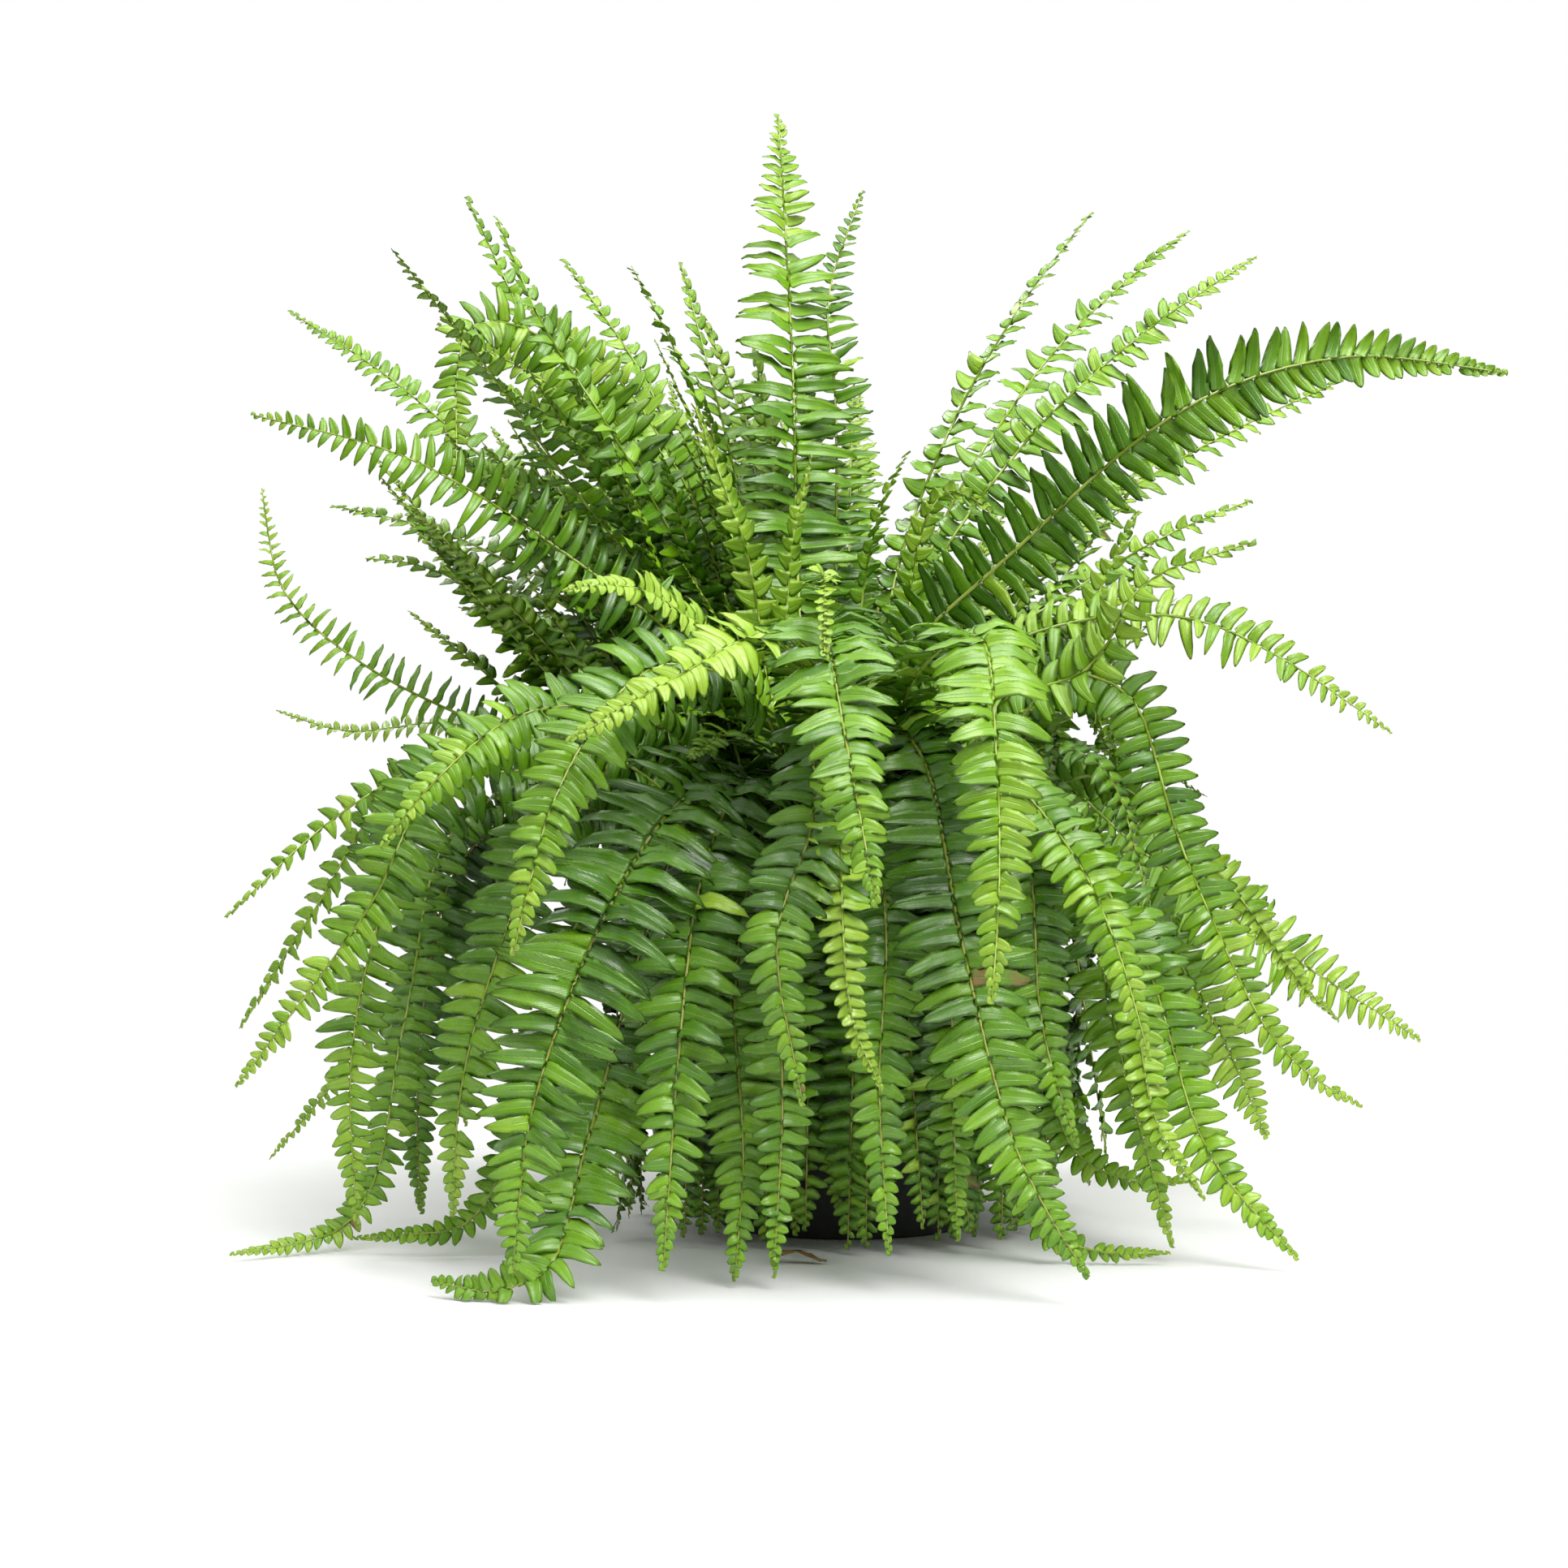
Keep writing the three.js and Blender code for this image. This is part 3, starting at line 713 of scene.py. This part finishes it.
def smooth(bm, sharp):
    """Shades a shape smoothly, except across edges that are sharper than an angle in degrees."""
    for face in bm.faces:
        face.smooth = True
    for edge in bm.edges:
        edge.smooth = not edge.is_manifold or edge.calc_face_angle(0) < math.radians(sharp)


def made(name, bm, finishes, slot, sharp=SHARP):
    """A finished piece that rides with the plant."""
    smooth(bm, sharp)
    mesh = bpy.data.meshes.new(name)
    bm.to_mesh(mesh)
    bm.free()
    for finish in finishes:
        mesh.materials.append(finish)
    piece = bpy.data.objects.new(name, mesh)
    scene.collection.objects.link(piece)
    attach(piece, "root")
    return piece


def pot_wall(z):
    """The outside radius of the pot's wall at a height."""
    return POT_BASE + (POT_TOP - POT_BASE) * z / POT_HEIGHT


def plastic():
    """Charcoal moulded plastic, dusty and scuffed towards the foot."""
    material, tree, shader = new_material("pot_plastic")
    place = tree.nodes.new("ShaderNodeTexCoord").outputs["Object"]
    axes = tree.nodes.new("ShaderNodeSeparateXYZ")
    tree.links.new(place, axes.inputs["Vector"])
    stretch = add(tree, "ShaderNodeMapping")
    stretch.inputs["Scale"].default_value = (1, 1, 0.06)
    tree.links.new(place, stretch.inputs["Vector"])
    flow = grain(tree, 120, 2, vector=stretch.outputs["Vector"])
    dust = grain(tree, 26, 5, 0.7)
    low = maths(tree, "SUBTRACT", 1.0, eased(tree, axes.outputs["Z"], 0.0, 0.07))
    film = maths(tree, "MULTIPLY", eased(tree, dust, 0.45, 0.75), 0.22)
    film = maths(tree, "MULTIPLY_ADD", maths(tree, "MULTIPLY", low, dust), 0.35, film)
    base = mixed(tree, flow, (0.016, 0.018, 0.017, 1), (0.026, 0.029, 0.027, 1))
    tree.links.new(mixed(tree, film, base, (0.105, 0.098, 0.082, 1)), shader.inputs["Base Color"])
    tree.links.new(maths(tree, "MULTIPLY_ADD", film, 0.8, 0.42), shader.inputs["Roughness"])
    fine = grain(tree, 1400, 2)
    raised(tree, shader, maths(tree, "MULTIPLY_ADD", flow, 0.6, fine), 0.06 * MM, 0.7)
    return material


def drain_cutter():
    """Eight short rods where the drainage holes go, in one object."""
    bm = bmesh.new()
    for n in range(DRAIN_HOLES):
        angle = math.tau * (n + 0.5) / DRAIN_HOLES
        spot = Vector((DRAIN_CIRCLE * math.cos(angle), DRAIN_CIRCLE * math.sin(angle), 0))
        bmesh.ops.create_cone(
            bm, cap_ends=True, segments=24, radius1=DRAIN_RADIUS, radius2=DRAIN_RADIUS,
            depth=4 * POT_FLOOR, matrix=Matrix.Translation(spot),
        )
    mesh = bpy.data.meshes.new("drain_cutter")
    bm.to_mesh(mesh)
    bm.free()
    cutter = bpy.data.objects.new("drain_cutter", mesh)
    scene.collection.objects.link(cutter)
    return cutter


def cut(piece, cutter):
    """Takes the cutter's shape out of a piece for good, and removes the cutter."""
    modifier = piece.modifiers.new("cut", "BOOLEAN")
    modifier.operation = "DIFFERENCE"
    modifier.object = cutter
    modifier.solver = "EXACT"
    evaluated = piece.evaluated_get(bpy.context.evaluated_depsgraph_get())
    mesh = bpy.data.meshes.new_from_object(evaluated)
    piece.modifiers.clear()
    piece.data = mesh
    mesh.name = piece.name
    bpy.data.objects.remove(cutter)


def build_pot():
    """The pot: a tapered wall with a band, a rolled rim, a foot, drainage holes and hanger lugs."""
    rim_foot = POT_HEIGHT - RIM_DEPTH
    inner = POT_HEIGHT - 2 * MM
    profile = (
        (0, 1.2 * MM),
        (POT_BASE - 12 * MM, 1.2 * MM),
        (POT_BASE - 10 * MM, 0),
        (POT_BASE - 3 * MM, 0),
        (POT_BASE - 1.2 * MM, 0.6 * MM),
        (pot_wall(2 * MM) - 0.1 * MM, 2.4 * MM),
        (pot_wall(58 * MM), 58 * MM),
        (pot_wall(60 * MM) + 0.6 * MM, 60 * MM),
        (pot_wall(110 * MM) + 0.6 * MM, 110 * MM),
        (pot_wall(rim_foot - 4 * MM), rim_foot - 4 * MM),
        (pot_wall(rim_foot) + 0.4 * MM, rim_foot - 0.6 * MM),
        (RIM_RADIUS - 1.6 * MM, rim_foot),
        (RIM_RADIUS - 0.5 * MM, rim_foot + 0.6 * MM),
        (RIM_RADIUS - 0.2 * MM, rim_foot + 3 * MM),
        (RIM_RADIUS, POT_HEIGHT - 3 * MM),
        (RIM_RADIUS - 0.6 * MM, POT_HEIGHT - 1.1 * MM),
        (RIM_RADIUS - 2 * MM, POT_HEIGHT - 0.2 * MM),
        (RIM_RADIUS - 4 * MM, POT_HEIGHT),
        (pot_wall(POT_HEIGHT) - POT_WALL + 1.4 * MM, POT_HEIGHT - 0.2 * MM),
        (pot_wall(inner) - POT_WALL, inner),
        (pot_wall(POT_FLOOR + 4 * MM) - POT_WALL, POT_FLOOR + 4 * MM),
        (pot_wall(POT_FLOOR) - POT_WALL - 2 * MM, POT_FLOOR),
        (0, POT_FLOOR),
    )
    piece = made("basket_pot", spun(profile), [plastic()], "pot_plastic")
    cut(piece, drain_cutter())
    bm = bmesh.new()
    bm.from_mesh(piece.data)
    for n in range(LUGS):
        angle = math.tau * (n + 0.5) / LUGS
        z = rim_foot - LUG_DROP
        turn = Matrix.Rotation(angle, 4, "Z")
        spot = turn @ Matrix.Translation((pot_wall(z) + LUG_SIZE[0] / 2 - LUG_SUNK, 0, z))
        block = bmesh.ops.create_cube(bm, size=1, matrix=spot @ Matrix.Diagonal((*LUG_SIZE, 1)))
        bm.edges.index_update()
        edges = sorted({e for v in block["verts"] for e in v.link_edges}, key=lambda e: e.index)
        bmesh.ops.bevel(
            bm, geom=edges, offset=LUG_ROUND, segments=2, profile=0.5, affect="EDGES", material=-1
        )
    smooth(bm, SHARP)
    bm.to_mesh(piece.data)
    bm.free()
    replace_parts(piece, "pot")


build_pot()

# ---- Potting mix ----

CRUMBS = 420
PERLITE = 60
MIX_RINGS = 18
HEAPED = 3 * MM  # how much higher the middle is than the edge
UNEVEN = 2.2 * MM


def crumbly(name, dark, light, scale):
    """Broken organic matter, from a dark to a light tone."""
    material, tree, shader = new_material(name)
    coarse = grain(tree, scale, 5, 0.65)
    fine = grain(tree, scale * 6, 4, 0.6)
    tone = maths(tree, "MULTIPLY_ADD", fine, 0.45, maths(tree, "MULTIPLY", coarse, 0.6))
    colour = mixed(tree, eased(tree, tone, 0.35, 0.7), dark, light)
    tree.links.new(colour, shader.inputs["Base Color"])
    shader.inputs["Roughness"].default_value = 0.93
    shader.inputs["Specular IOR Level"].default_value = 0.2
    raised(tree, shader, maths(tree, "ADD", coarse, fine), 1.2 * MM, 0.8)
    return material


def build_mix():
    """The mix's uneven top and its plain sides inside the pot, with bark crumbs and perlite on it."""
    top = mix_high.z
    edge = mix_high.x
    foot = pot_wall(mix_low.z) - POT_WALL - 0.6 * MM
    profile = [(0, mix_low.z), (foot, mix_low.z), (edge, top - 4 * MM)]
    for n in range(1, MIX_RINGS):
        share = 1 - n / MIX_RINGS
        profile.append((edge * share, top - HEAPED * share**2))
    profile.append((0, top))
    bm = spun(profile, 72)
    for vert in bm.verts:
        spread_out = math.hypot(vert.co.x, vert.co.y)
        if vert.co.z > top - 6 * MM and spread_out < edge - 2 * MM:
            vert.co.z += UNEVEN * (noise.noise(vert.co * 90) - 0.6)
    rng = random.Random(23)
    for n in range(CRUMBS + PERLITE):
        angle = rng.uniform(0, math.tau)
        away = edge * math.sqrt(rng.uniform(0.22, 0.93))
        white = n >= CRUMBS
        if white:
            size = rng.uniform(0.9, 1.7) * MM
            shape = (1, 1, 0.9)
        else:
            size = rng.uniform(0.9, 3.2) * MM
            shape = (rng.uniform(0.8, 1.9), rng.uniform(0.5, 1.0), rng.uniform(0.3, 0.6))
        turn = Matrix.Rotation(rng.uniform(0, math.tau), 4, "Z")
        turn = turn @ Matrix.Rotation(rng.gauss(0, 0.3), 4, "X")
        height = top - HEAPED + 0.3 * size
        spot = Matrix.Translation((away * math.cos(angle), away * math.sin(angle), height))
        lump = bmesh.ops.create_icosphere(
            bm, subdivisions=1, radius=size, matrix=spot @ turn @ Matrix.Diagonal((*shape, 1))
        )
        for vert in lump["verts"]:
            for face in vert.link_faces:
                face.material_index = 1 if white else 0
    finishes = [
        crumbly("peat", (0.012, 0.008, 0.005, 1), (0.075, 0.045, 0.026, 1), 160),
        crumbly("perlite", (0.42, 0.41, 0.38, 1), (0.72, 0.71, 0.68, 1), 700),
    ]
    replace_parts(made("crumbly_mix", bm, finishes, "potting_mix", 50), "potting_mix")


build_mix()

# ---- Crown ----

STUBS = 90
SCALES = 160
CROWN_RINGS = 10
KNOTS = 3.2 * MM  # height of the lumps


def build_crown():
    """The knotted rhizome: a low lumpy dome with the stubs of old stems and papery brown scales."""
    profile = [(0, crown_low.z), (CROWN_RADIUS - 5 * MM, crown_low.z)]
    rise = crown_high.z - crown_low.z
    for n in range(CROWN_RINGS):
        share = 1 - n / CROWN_RINGS
        height = crown_low.z + rise * (0.16 + 0.78 * (1 - share**2))
        profile.append((CROWN_RADIUS * share * 0.985, height))
    profile.append((0, crown_high.z - 0.6 * MM))
    bm = spun(profile, 48)
    for vert in bm.verts:
        if vert.co.z > crown_low.z + 1 * MM:
            swell = noise.noise(vert.co * 70) + 0.5 * noise.noise(vert.co * 190)
            vert.co.z = max(vert.co.z + KNOTS * (swell - 0.35), crown_low.z + 0.8 * MM)
    rng = random.Random(37)
    for n in range(STUBS + SCALES):
        angle = rng.uniform(0, math.tau)
        share = math.sqrt(rng.uniform(0.02, 0.9))
        way = Vector((math.cos(angle), math.sin(angle), 0))
        ground = crown_low.z + rise * (0.1 + 0.7 * (1 - share**2))
        spot = way * (CROWN_RADIUS * share) + UP * ground
        outwards = way * rng.uniform(0.1, 0.9) * share
        sideways = way.orthogonal() * rng.gauss(0, 0.2)
        turn = (UP + outwards + sideways).to_track_quat("Z", "X").to_matrix().to_4x4()
        stub = n < STUBS
        tall = rng.uniform(3, 7) * MM if stub else rng.uniform(3, 5) * MM
        wide = rng.uniform(1.3, 2.0) * MM if stub else rng.uniform(0.9, 1.5) * MM
        thin = 1 if stub else 0.25
        tip = wide * (0.7 if stub else 0.05)
        place = Matrix.Translation(spot) @ turn @ Matrix.Diagonal((1, thin, 1, 1))
        bmesh.ops.create_cone(
            bm, cap_ends=True, segments=7, radius1=wide, radius2=tip, depth=2 * tall, matrix=place
        )
    for vert in bm.verts:
        vert.co.z = min(max(vert.co.z, crown_low.z), crown_high.z + 4 * MM)
    finish = crumbly("rhizome", (0.035, 0.019, 0.009, 1), (0.20, 0.115, 0.05, 1), 220)
    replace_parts(made("scaly_rhizome", bm, [finish], "rhizome", 60), "rhizome_crown")


build_crown()

# ---- Fronds within the plant ----

POT_CLEARANCE = 11 * MM  # between the pot and the midribs that hang over it
FLOOR_CLEARANCE = 7 * MM
SPRUNG_STEPS = 22
DRIFT = 0.22  # radians that a midrib strays from its heading
ROLL = 16  # degrees that a blade rolls about it
BACK = 90  # degrees, the way from the display side to the far side

# Rows of smaller fronds that fill the plant: how many, the middle and width of the sector that they
# leave in, in degrees, and the ranges of their length in metres, lean from upright and total bend in
# degrees, where the bend starts and ends, the blade's half-width in millimetres, and age.
FILL = {
    "inner_upright": (
        22, BACK, 360, (0.16, 0.34), (4, 34), (5, 50), (0.1, 0.3), (0.9, 1.2), (13, 20), (0.2, 0.45),
    ),
    "mid_upright": (
        18, 148, 125, (0.34, 0.48), (2, 17), (4, 24), (0.1, 0.3), (0.9, 1.1), (19, 27), (0.5, 0.8),
    ),
    "inner_arch": (
        28, BACK, 360, (0.27, 0.35), (8, 30), (90, 150), (0.2, 0.4), (0.8, 1.0), (17, 25), (0.55, 0.9),
    ),
    "skirt": (
        38, BACK, 360, (0.30, 0.38), (16, 36), (140, 165), (0.04, 0.12), (0.45, 0.62), (23, 33),
        (0.75, 1.0),
    ),
    "front_skirt": (
        13, 270, 125, (0.30, 0.36), (16, 28), (148, 166), (0.05, 0.1), (0.42, 0.54), (27, 35),
        (0.85, 1.1),
    ),
    "left_fan": (
        40, 157, 112, (0.34, 0.47), (14, 41), (2, 18), (0.1, 0.3), (0.9, 1.1), (22, 31), (0.5, 0.85),
    ),
    "right_fan": (
        7, 40, 70, (0.32, 0.42), (14, 38), (2, 18), (0.1, 0.3), (0.9, 1.1), (18, 25), (0.35, 0.65),
    ),
    "back_arch": (
        30, BACK, 92, (0.40, 0.55), (8, 32), (110, 150), (0.2, 0.4), (0.75, 1.0), (24, 33), (0.5, 0.8),
    ),
    "back_upright": (
        10, BACK, 140, (0.40, 0.54), (10, 34), (10, 55), (0.1, 0.3), (0.9, 1.1), (18, 26), (0.35, 0.6),
    ),
}


def sprung_midrib(heading, length, lean, bend, bend_from, bend_to, rng):
    """The midrib of a stem that rises from the crown, bends over and hangs."""
    steps = SPRUNG_STEPS
    foot = rng.uniform(0.25, 0.85) * CROWN_RADIUS
    drift = rng.gauss(0, DRIFT)
    roll = rng.gauss(0, math.radians(ROLL))
    out = Vector((math.cos(heading), math.sin(heading), 0))
    point = out * foot + UP * SPROUT_HEIGHT
    points, sides = [point], []
    risen = False
    over_rim = RIM_TOP + POT_CLEARANCE
    past_rim = RIM_RADIUS + POT_CLEARANCE
    for k in range(steps):
        share = (k + 0.5) / steps
        turn = min(max((share - bend_from) / (bend_to - bend_from), 0), 1)
        climb = math.radians(90 - lean - bend * turn * turn * (3 - 2 * turn))
        way = heading + drift * share
        out = Vector((math.cos(way), math.sin(way), 0))
        along = out * math.cos(climb) + UP * math.sin(climb)
        point = point + along * (length / steps)
        risen = risen or point.z > over_rim
        spread_out = math.hypot(point.x, point.y)
        if risen and point.z < over_rim and spread_out < past_rim:
            point = point + out * (past_rim - spread_out)
        point.z = max(point.z, FLOOR_CLEARANCE)
        points.append(point)
        across = Vector((-math.sin(way), math.cos(way), 0))
        sides.append(across * math.cos(roll) + across.cross(along) * math.sin(roll))
    return Midrib(points, [*sides, sides[-1]])


for row, (count, middle, sector, *ranges) in FILL.items():
    rng = random.Random(row)
    for n in range(count):
        place = middle + sector * ((n + rng.uniform(0.2, 0.8)) / count - 0.5)
        length, lean, bend, bend_from, bend_to, half, age = (rng.uniform(*pair) for pair in ranges)
        midrib = sprung_midrib(math.radians(place), length, lean, bend, bend_from, bend_to, rng)
        kind = "young" if age < 0.4 else "grown"
        grow_frond(
            f"{row}_{n + 1}", midrib, half * MM, random.Random(f"{row}_{n + 1}"),
            kind=kind, age=age, fill=0.9, loose=9, twist=12, columns=2, lost=0.03,
        )

# Smaller fronds that are seen one by one: half-width of the blade, kind, age, and points down the
# midrib, in millimetres.
SMALL_FRONDS = {
    "young_1": (
        15, "young", 0.20, (-25, -25, 160), (-48, -70, 330), (-62, -90, 434), (-80, -92, 490),
        (-98, -90, 540),
    ),
    "young_2": (
        13, "young", 0.22, (-10, -25, 160), (-38, -70, 330), (-37, -90, 440), (-23, -90, 511),
    ),
    "young_3": (
        13, "young", 0.25, (30, -20, 160), (60, -60, 320), (75, -85, 400), (92, -90, 461),
    ),
    "young_4": (
        14, "young", 0.28, (25, -10, 160), (38, -30, 330), (45, -45, 440), (62, -60, 487),
        (88, -65, 482), (103, -70, 462),
    ),
    "young_5": (
        19, "young", 0.34, (40, -15, 160), (105, -30, 300), (150, -40, 382), (171, -40, 430),
        (195, -40, 479),
    ),
    "young_6": (
        15, "young", 0.30, (-40, 0, 160), (-140, 0, 330), (-200, 0, 395), (-262, 0, 417),
    ),
    "fan_1": (
        25, "grown", 0.60, (-35, 15, 160), (-85, 40, 390), (-176, 65, 551), (-284, 80, 620),
    ),
    "fan_2": (
        26, "grown", 0.72, (-35, 10, 160), (-76, 30, 370), (-155, 50, 515), (-250, 60, 580),
    ),
    "fan_3": (
        25, "grown", 0.55, (-30, 20, 160), (-68, 50, 396), (-141, 80, 561), (-227, 100, 640),
    ),
    "fan_4": (
        26, "grown", 0.75, (-40, 10, 160), (-84, 30, 345), (-170, 50, 474), (-273, 60, 525),
    ),
    "fan_5": (
        24, "grown", 0.60, (-25, 20, 160), (-58, 50, 370), (-120, 85, 520), (-193, 110, 590),
    ),
    "fan_6": (
        24, "young", 0.40, (-20, 25, 160), (-35, 60, 400), (-50, 90, 520), (-62, 110, 610),
    ),
    "light_tip": (
        14, "grown", 0.12, (-10, -30, 160), (-20, -120, 340), (-18, -230, 418), (-17, -290, 408),
        (-18, -310, 355),
    ),
    "hanging_1": (
        22, "grown", 0.42, (0, -30, 160), (5, -140, 330), (-5, -250, 325), (-8, -322, 240),
        (-3, -335, 168), (15, -340, 122),
    ),
    "hanging_2": (
        27, "grown", 0.88, (-15, -30, 160), (-40, -150, 290), (-45, -240, 240), (-42, -280, 121),
        (-43, -285, 78), (-47, -285, 9),
    ),
    "hanging_3": (
        24, "grown", 0.84, (25, -30, 160), (45, -140, 290), (58, -220, 230), (60, -255, 104),
        (62, -260, 25),
    ),
    "hanging_4": (
        20, "grown", 0.50, (45, -25, 160), (110, -110, 290), (165, -180, 220), (184, -205, 99),
        (214, -215, 45),
    ),
    "hanging_5": (
        16, "grown", 0.30, (45, -20, 160), (150, -30, 300), (240, -45, 245), (298, -50, 170),
        (325, -50, 141),
    ),
    "hanging_6": (
        30, "grown", 0.95, (-40, 0, 160), (-160, -5, 290), (-255, -10, 250), (-283, -15, 150),
        (-288, -15, 70), (-285, -15, 8),
    ),
    "hanging_7": (
        23, "grown", 0.90, (-35, 10, 160), (-135, 20, 290), (-222, 25, 240), (-262, 25, 130),
        (-270, 25, 50),
    ),
    "trailing_1": (
        18, "grown", 0.72, (-45, -25, 160), (-100, -70, 255), (-165, -115, 225), (-200, -140, 110),
        (-234, -150, 26), (-284, -155, 14), (-312, -155, 12),
    ),
    "trailing_2": (
        17, "grown", 0.60, (45, -20, 160), (95, -60, 250), (122, -100, 160), (140, -115, 70),
        (179, -120, 44), (223, -122, 44),
    ),
    "trailing_3": (
        17, "grown", 0.62, (40, -30, 160), (75, -110, 250), (95, -165, 140), (112, -185, 35),
        (147, -190, 10), (196, -192, 8),
    ),
}

for name, (half, kind, age, *places) in SMALL_FRONDS.items():
    points = [Vector(place) * MM for place in places]
    sides = [(b - a).cross(DISPLAY).normalized() for a, b in zip(points, points[1:])]
    midrib = Midrib(points, [sides[0], *sides])
    grow_frond(name, midrib, half * MM, random.Random(name), kind=kind, age=age, twist=14, loose=9)

# ---- Uncurling tips ----

CROZIERS = 6
STRAIGHT_STEPS = 10
CURL_STEPS = 34
CURL_TURN = math.radians(17)  # per step
CURL_RADIUS = 7 * MM  # where the curl starts
CURL_CLOSING = 0.962  # of its radius per step


def crozier_midrib(rng, heading):
    """A short stem whose end is rolled up."""
    out = Vector((math.cos(heading), math.sin(heading), 0))
    point = out * rng.uniform(0.3, 0.7) * CROWN_RADIUS + UP * SPROUT_HEIGHT
    across = Vector((-out.y, out.x, 0))
    points = [point]
    climb = math.radians(rng.uniform(74, 86))
    tall = rng.uniform(90, 190) * MM
    for _ in range(STRAIGHT_STEPS):
        point = point + (out * math.cos(climb) + UP * math.sin(climb)) * tall / STRAIGHT_STEPS
        points.append(point)
    radius = CURL_RADIUS
    for _ in range(CURL_STEPS):
        climb -= CURL_TURN
        radius *= CURL_CLOSING
        point = point + (out * math.cos(climb) + UP * math.sin(climb)) * radius * CURL_TURN
        points.append(point)
    return Midrib(points, [across] * len(points))


rng = random.Random(71)
for n in range(CROZIERS):
    heading = math.tau * (n + rng.random()) / CROZIERS
    bm = stem_tube(crozier_midrib(rng, heading), 1.3 * MM, 0.9 * MM, Midrib.STEPS)
    frond_piece(f"crozier_{n + 1}", bm, [(0.2, 1.0, 0.0, 1.0)] * len(bm.verts))

# ---- Fallen leaflet ----

FALLEN_AT = Vector((-48, -178, 0)) * MM
FALLEN_LENGTH = 34 * MM
FALLEN_WIDTH = 0.36 * FALLEN_LENGTH
FALLEN_HEADING = math.radians(-12)


def drop_leaflet():
    """A dried leaflet that lies on the floor in front of the pot."""
    bm = bmesh.new()
    bm.from_mesh(LEAFLETS["grown", 1, 4][0])
    shape = Matrix.Diagonal((FALLEN_LENGTH, FALLEN_WIDTH, FALLEN_LENGTH, 1))
    turn = Matrix.Translation(FALLEN_AT) @ Matrix.Rotation(FALLEN_HEADING, 4, "Z") @ shape
    bmesh.ops.transform(bm, matrix=turn, verts=bm.verts)
    lowest = min(vert.co.z for vert in bm.verts)
    bmesh.ops.translate(bm, vec=(0, 0, FLOOR_GAP - lowest), verts=bm.verts)
    frond_piece("fallen_leaflet", bm, [(0.4, 0.0, 1.0, 1.0)] * len(bm.verts))


drop_leaflet()

# ---- Studio ----

FLOOR_RADIUS = 3
FLOOR_CLEAR = 0.45  # from the middle, where the floor starts to fade into the surround
FLOOR_FADED = 1.3
FILL_LOW = 0.14  # the surround's light on the plant from the sides, where 1 is the white that it shows
FILL_HIGH = 1.0  # and from straight above

# Broad lamps: where each stands, what it points at, its side in metres, and its power.
LAMPS = {
    "overhead": ((0.3, -0.5, 2.5), (0, 0, 0.3), 1.4, 32),
    "key": ((1.1, -2.0, 2.4), (0, 0, 0.35), 1.4, 56),
    "back": ((-1.2, 2.1, 2.3), (0, 0, 0.35), 1.4, 30),
}


def floor_material():
    """Pale paper, which fades into the surround far from the plant."""
    material, tree, shader = new_material("floor")
    shader.inputs["Base Color"].default_value = (0.86, 0.865, 0.85, 1)
    shader.inputs["Roughness"].default_value = 0.9
    shader.inputs["Specular IOR Level"].default_value = 0.1
    place = tree.nodes.new("ShaderNodeTexCoord").outputs["Object"]
    away = tree.nodes.new("ShaderNodeVectorMath")
    away.operation = "LENGTH"
    tree.links.new(place, away.inputs[0])
    faded = eased(tree, away.outputs["Value"], FLOOR_CLEAR, FLOOR_FADED)
    tree.links.new(maths(tree, "SUBTRACT", 1.0, faded), shader.inputs["Alpha"])
    return material


def set_studio():
    """A pale floor, an even white surround and broad soft lights."""
    bm = bmesh.new()
    bmesh.ops.create_circle(bm, cap_ends=True, segments=64, radius=FLOOR_RADIUS)
    mesh = bpy.data.meshes.new("floor")
    bm.to_mesh(mesh)
    bm.free()
    floor = bpy.data.objects.new("floor", mesh)
    scene.collection.objects.link(floor)
    mesh.materials.append(floor_material())

    world = bpy.data.worlds.new("surround")
    world.use_nodes = True
    tree = world.node_tree
    seen = tree.nodes.new("ShaderNodeLightPath").outputs["Is Camera Ray"]
    way = tree.nodes.new("ShaderNodeSeparateXYZ")
    tree.links.new(tree.nodes.new("ShaderNodeTexCoord").outputs["Generated"], way.inputs["Vector"])
    height = eased(tree, way.outputs["Z"], -0.1, 1.0)
    fill = maths(tree, "MULTIPLY_ADD", height, FILL_HIGH - FILL_LOW, FILL_LOW)
    unseen = maths(tree, "SUBTRACT", 1.0, seen)
    strength = maths(tree, "MULTIPLY_ADD", unseen, fill, seen)
    tree.nodes["Background"].inputs["Color"].default_value = (1, 1, 1, 1)
    tree.links.new(strength, tree.nodes["Background"].inputs["Strength"])
    scene.world = world

    for name, (place, target, size, power) in LAMPS.items():
        data = bpy.data.lights.new(name, "AREA")
        data.size = size
        data.energy = power
        lamp = bpy.data.objects.new(name, data)
        lamp.location = place
        lamp.rotation_euler = (Vector(target) - Vector(place)).to_track_quat("-Z", "Y").to_euler()
        scene.collection.objects.link(lamp)

    scene.view_settings.view_transform = "Standard"


set_studio()
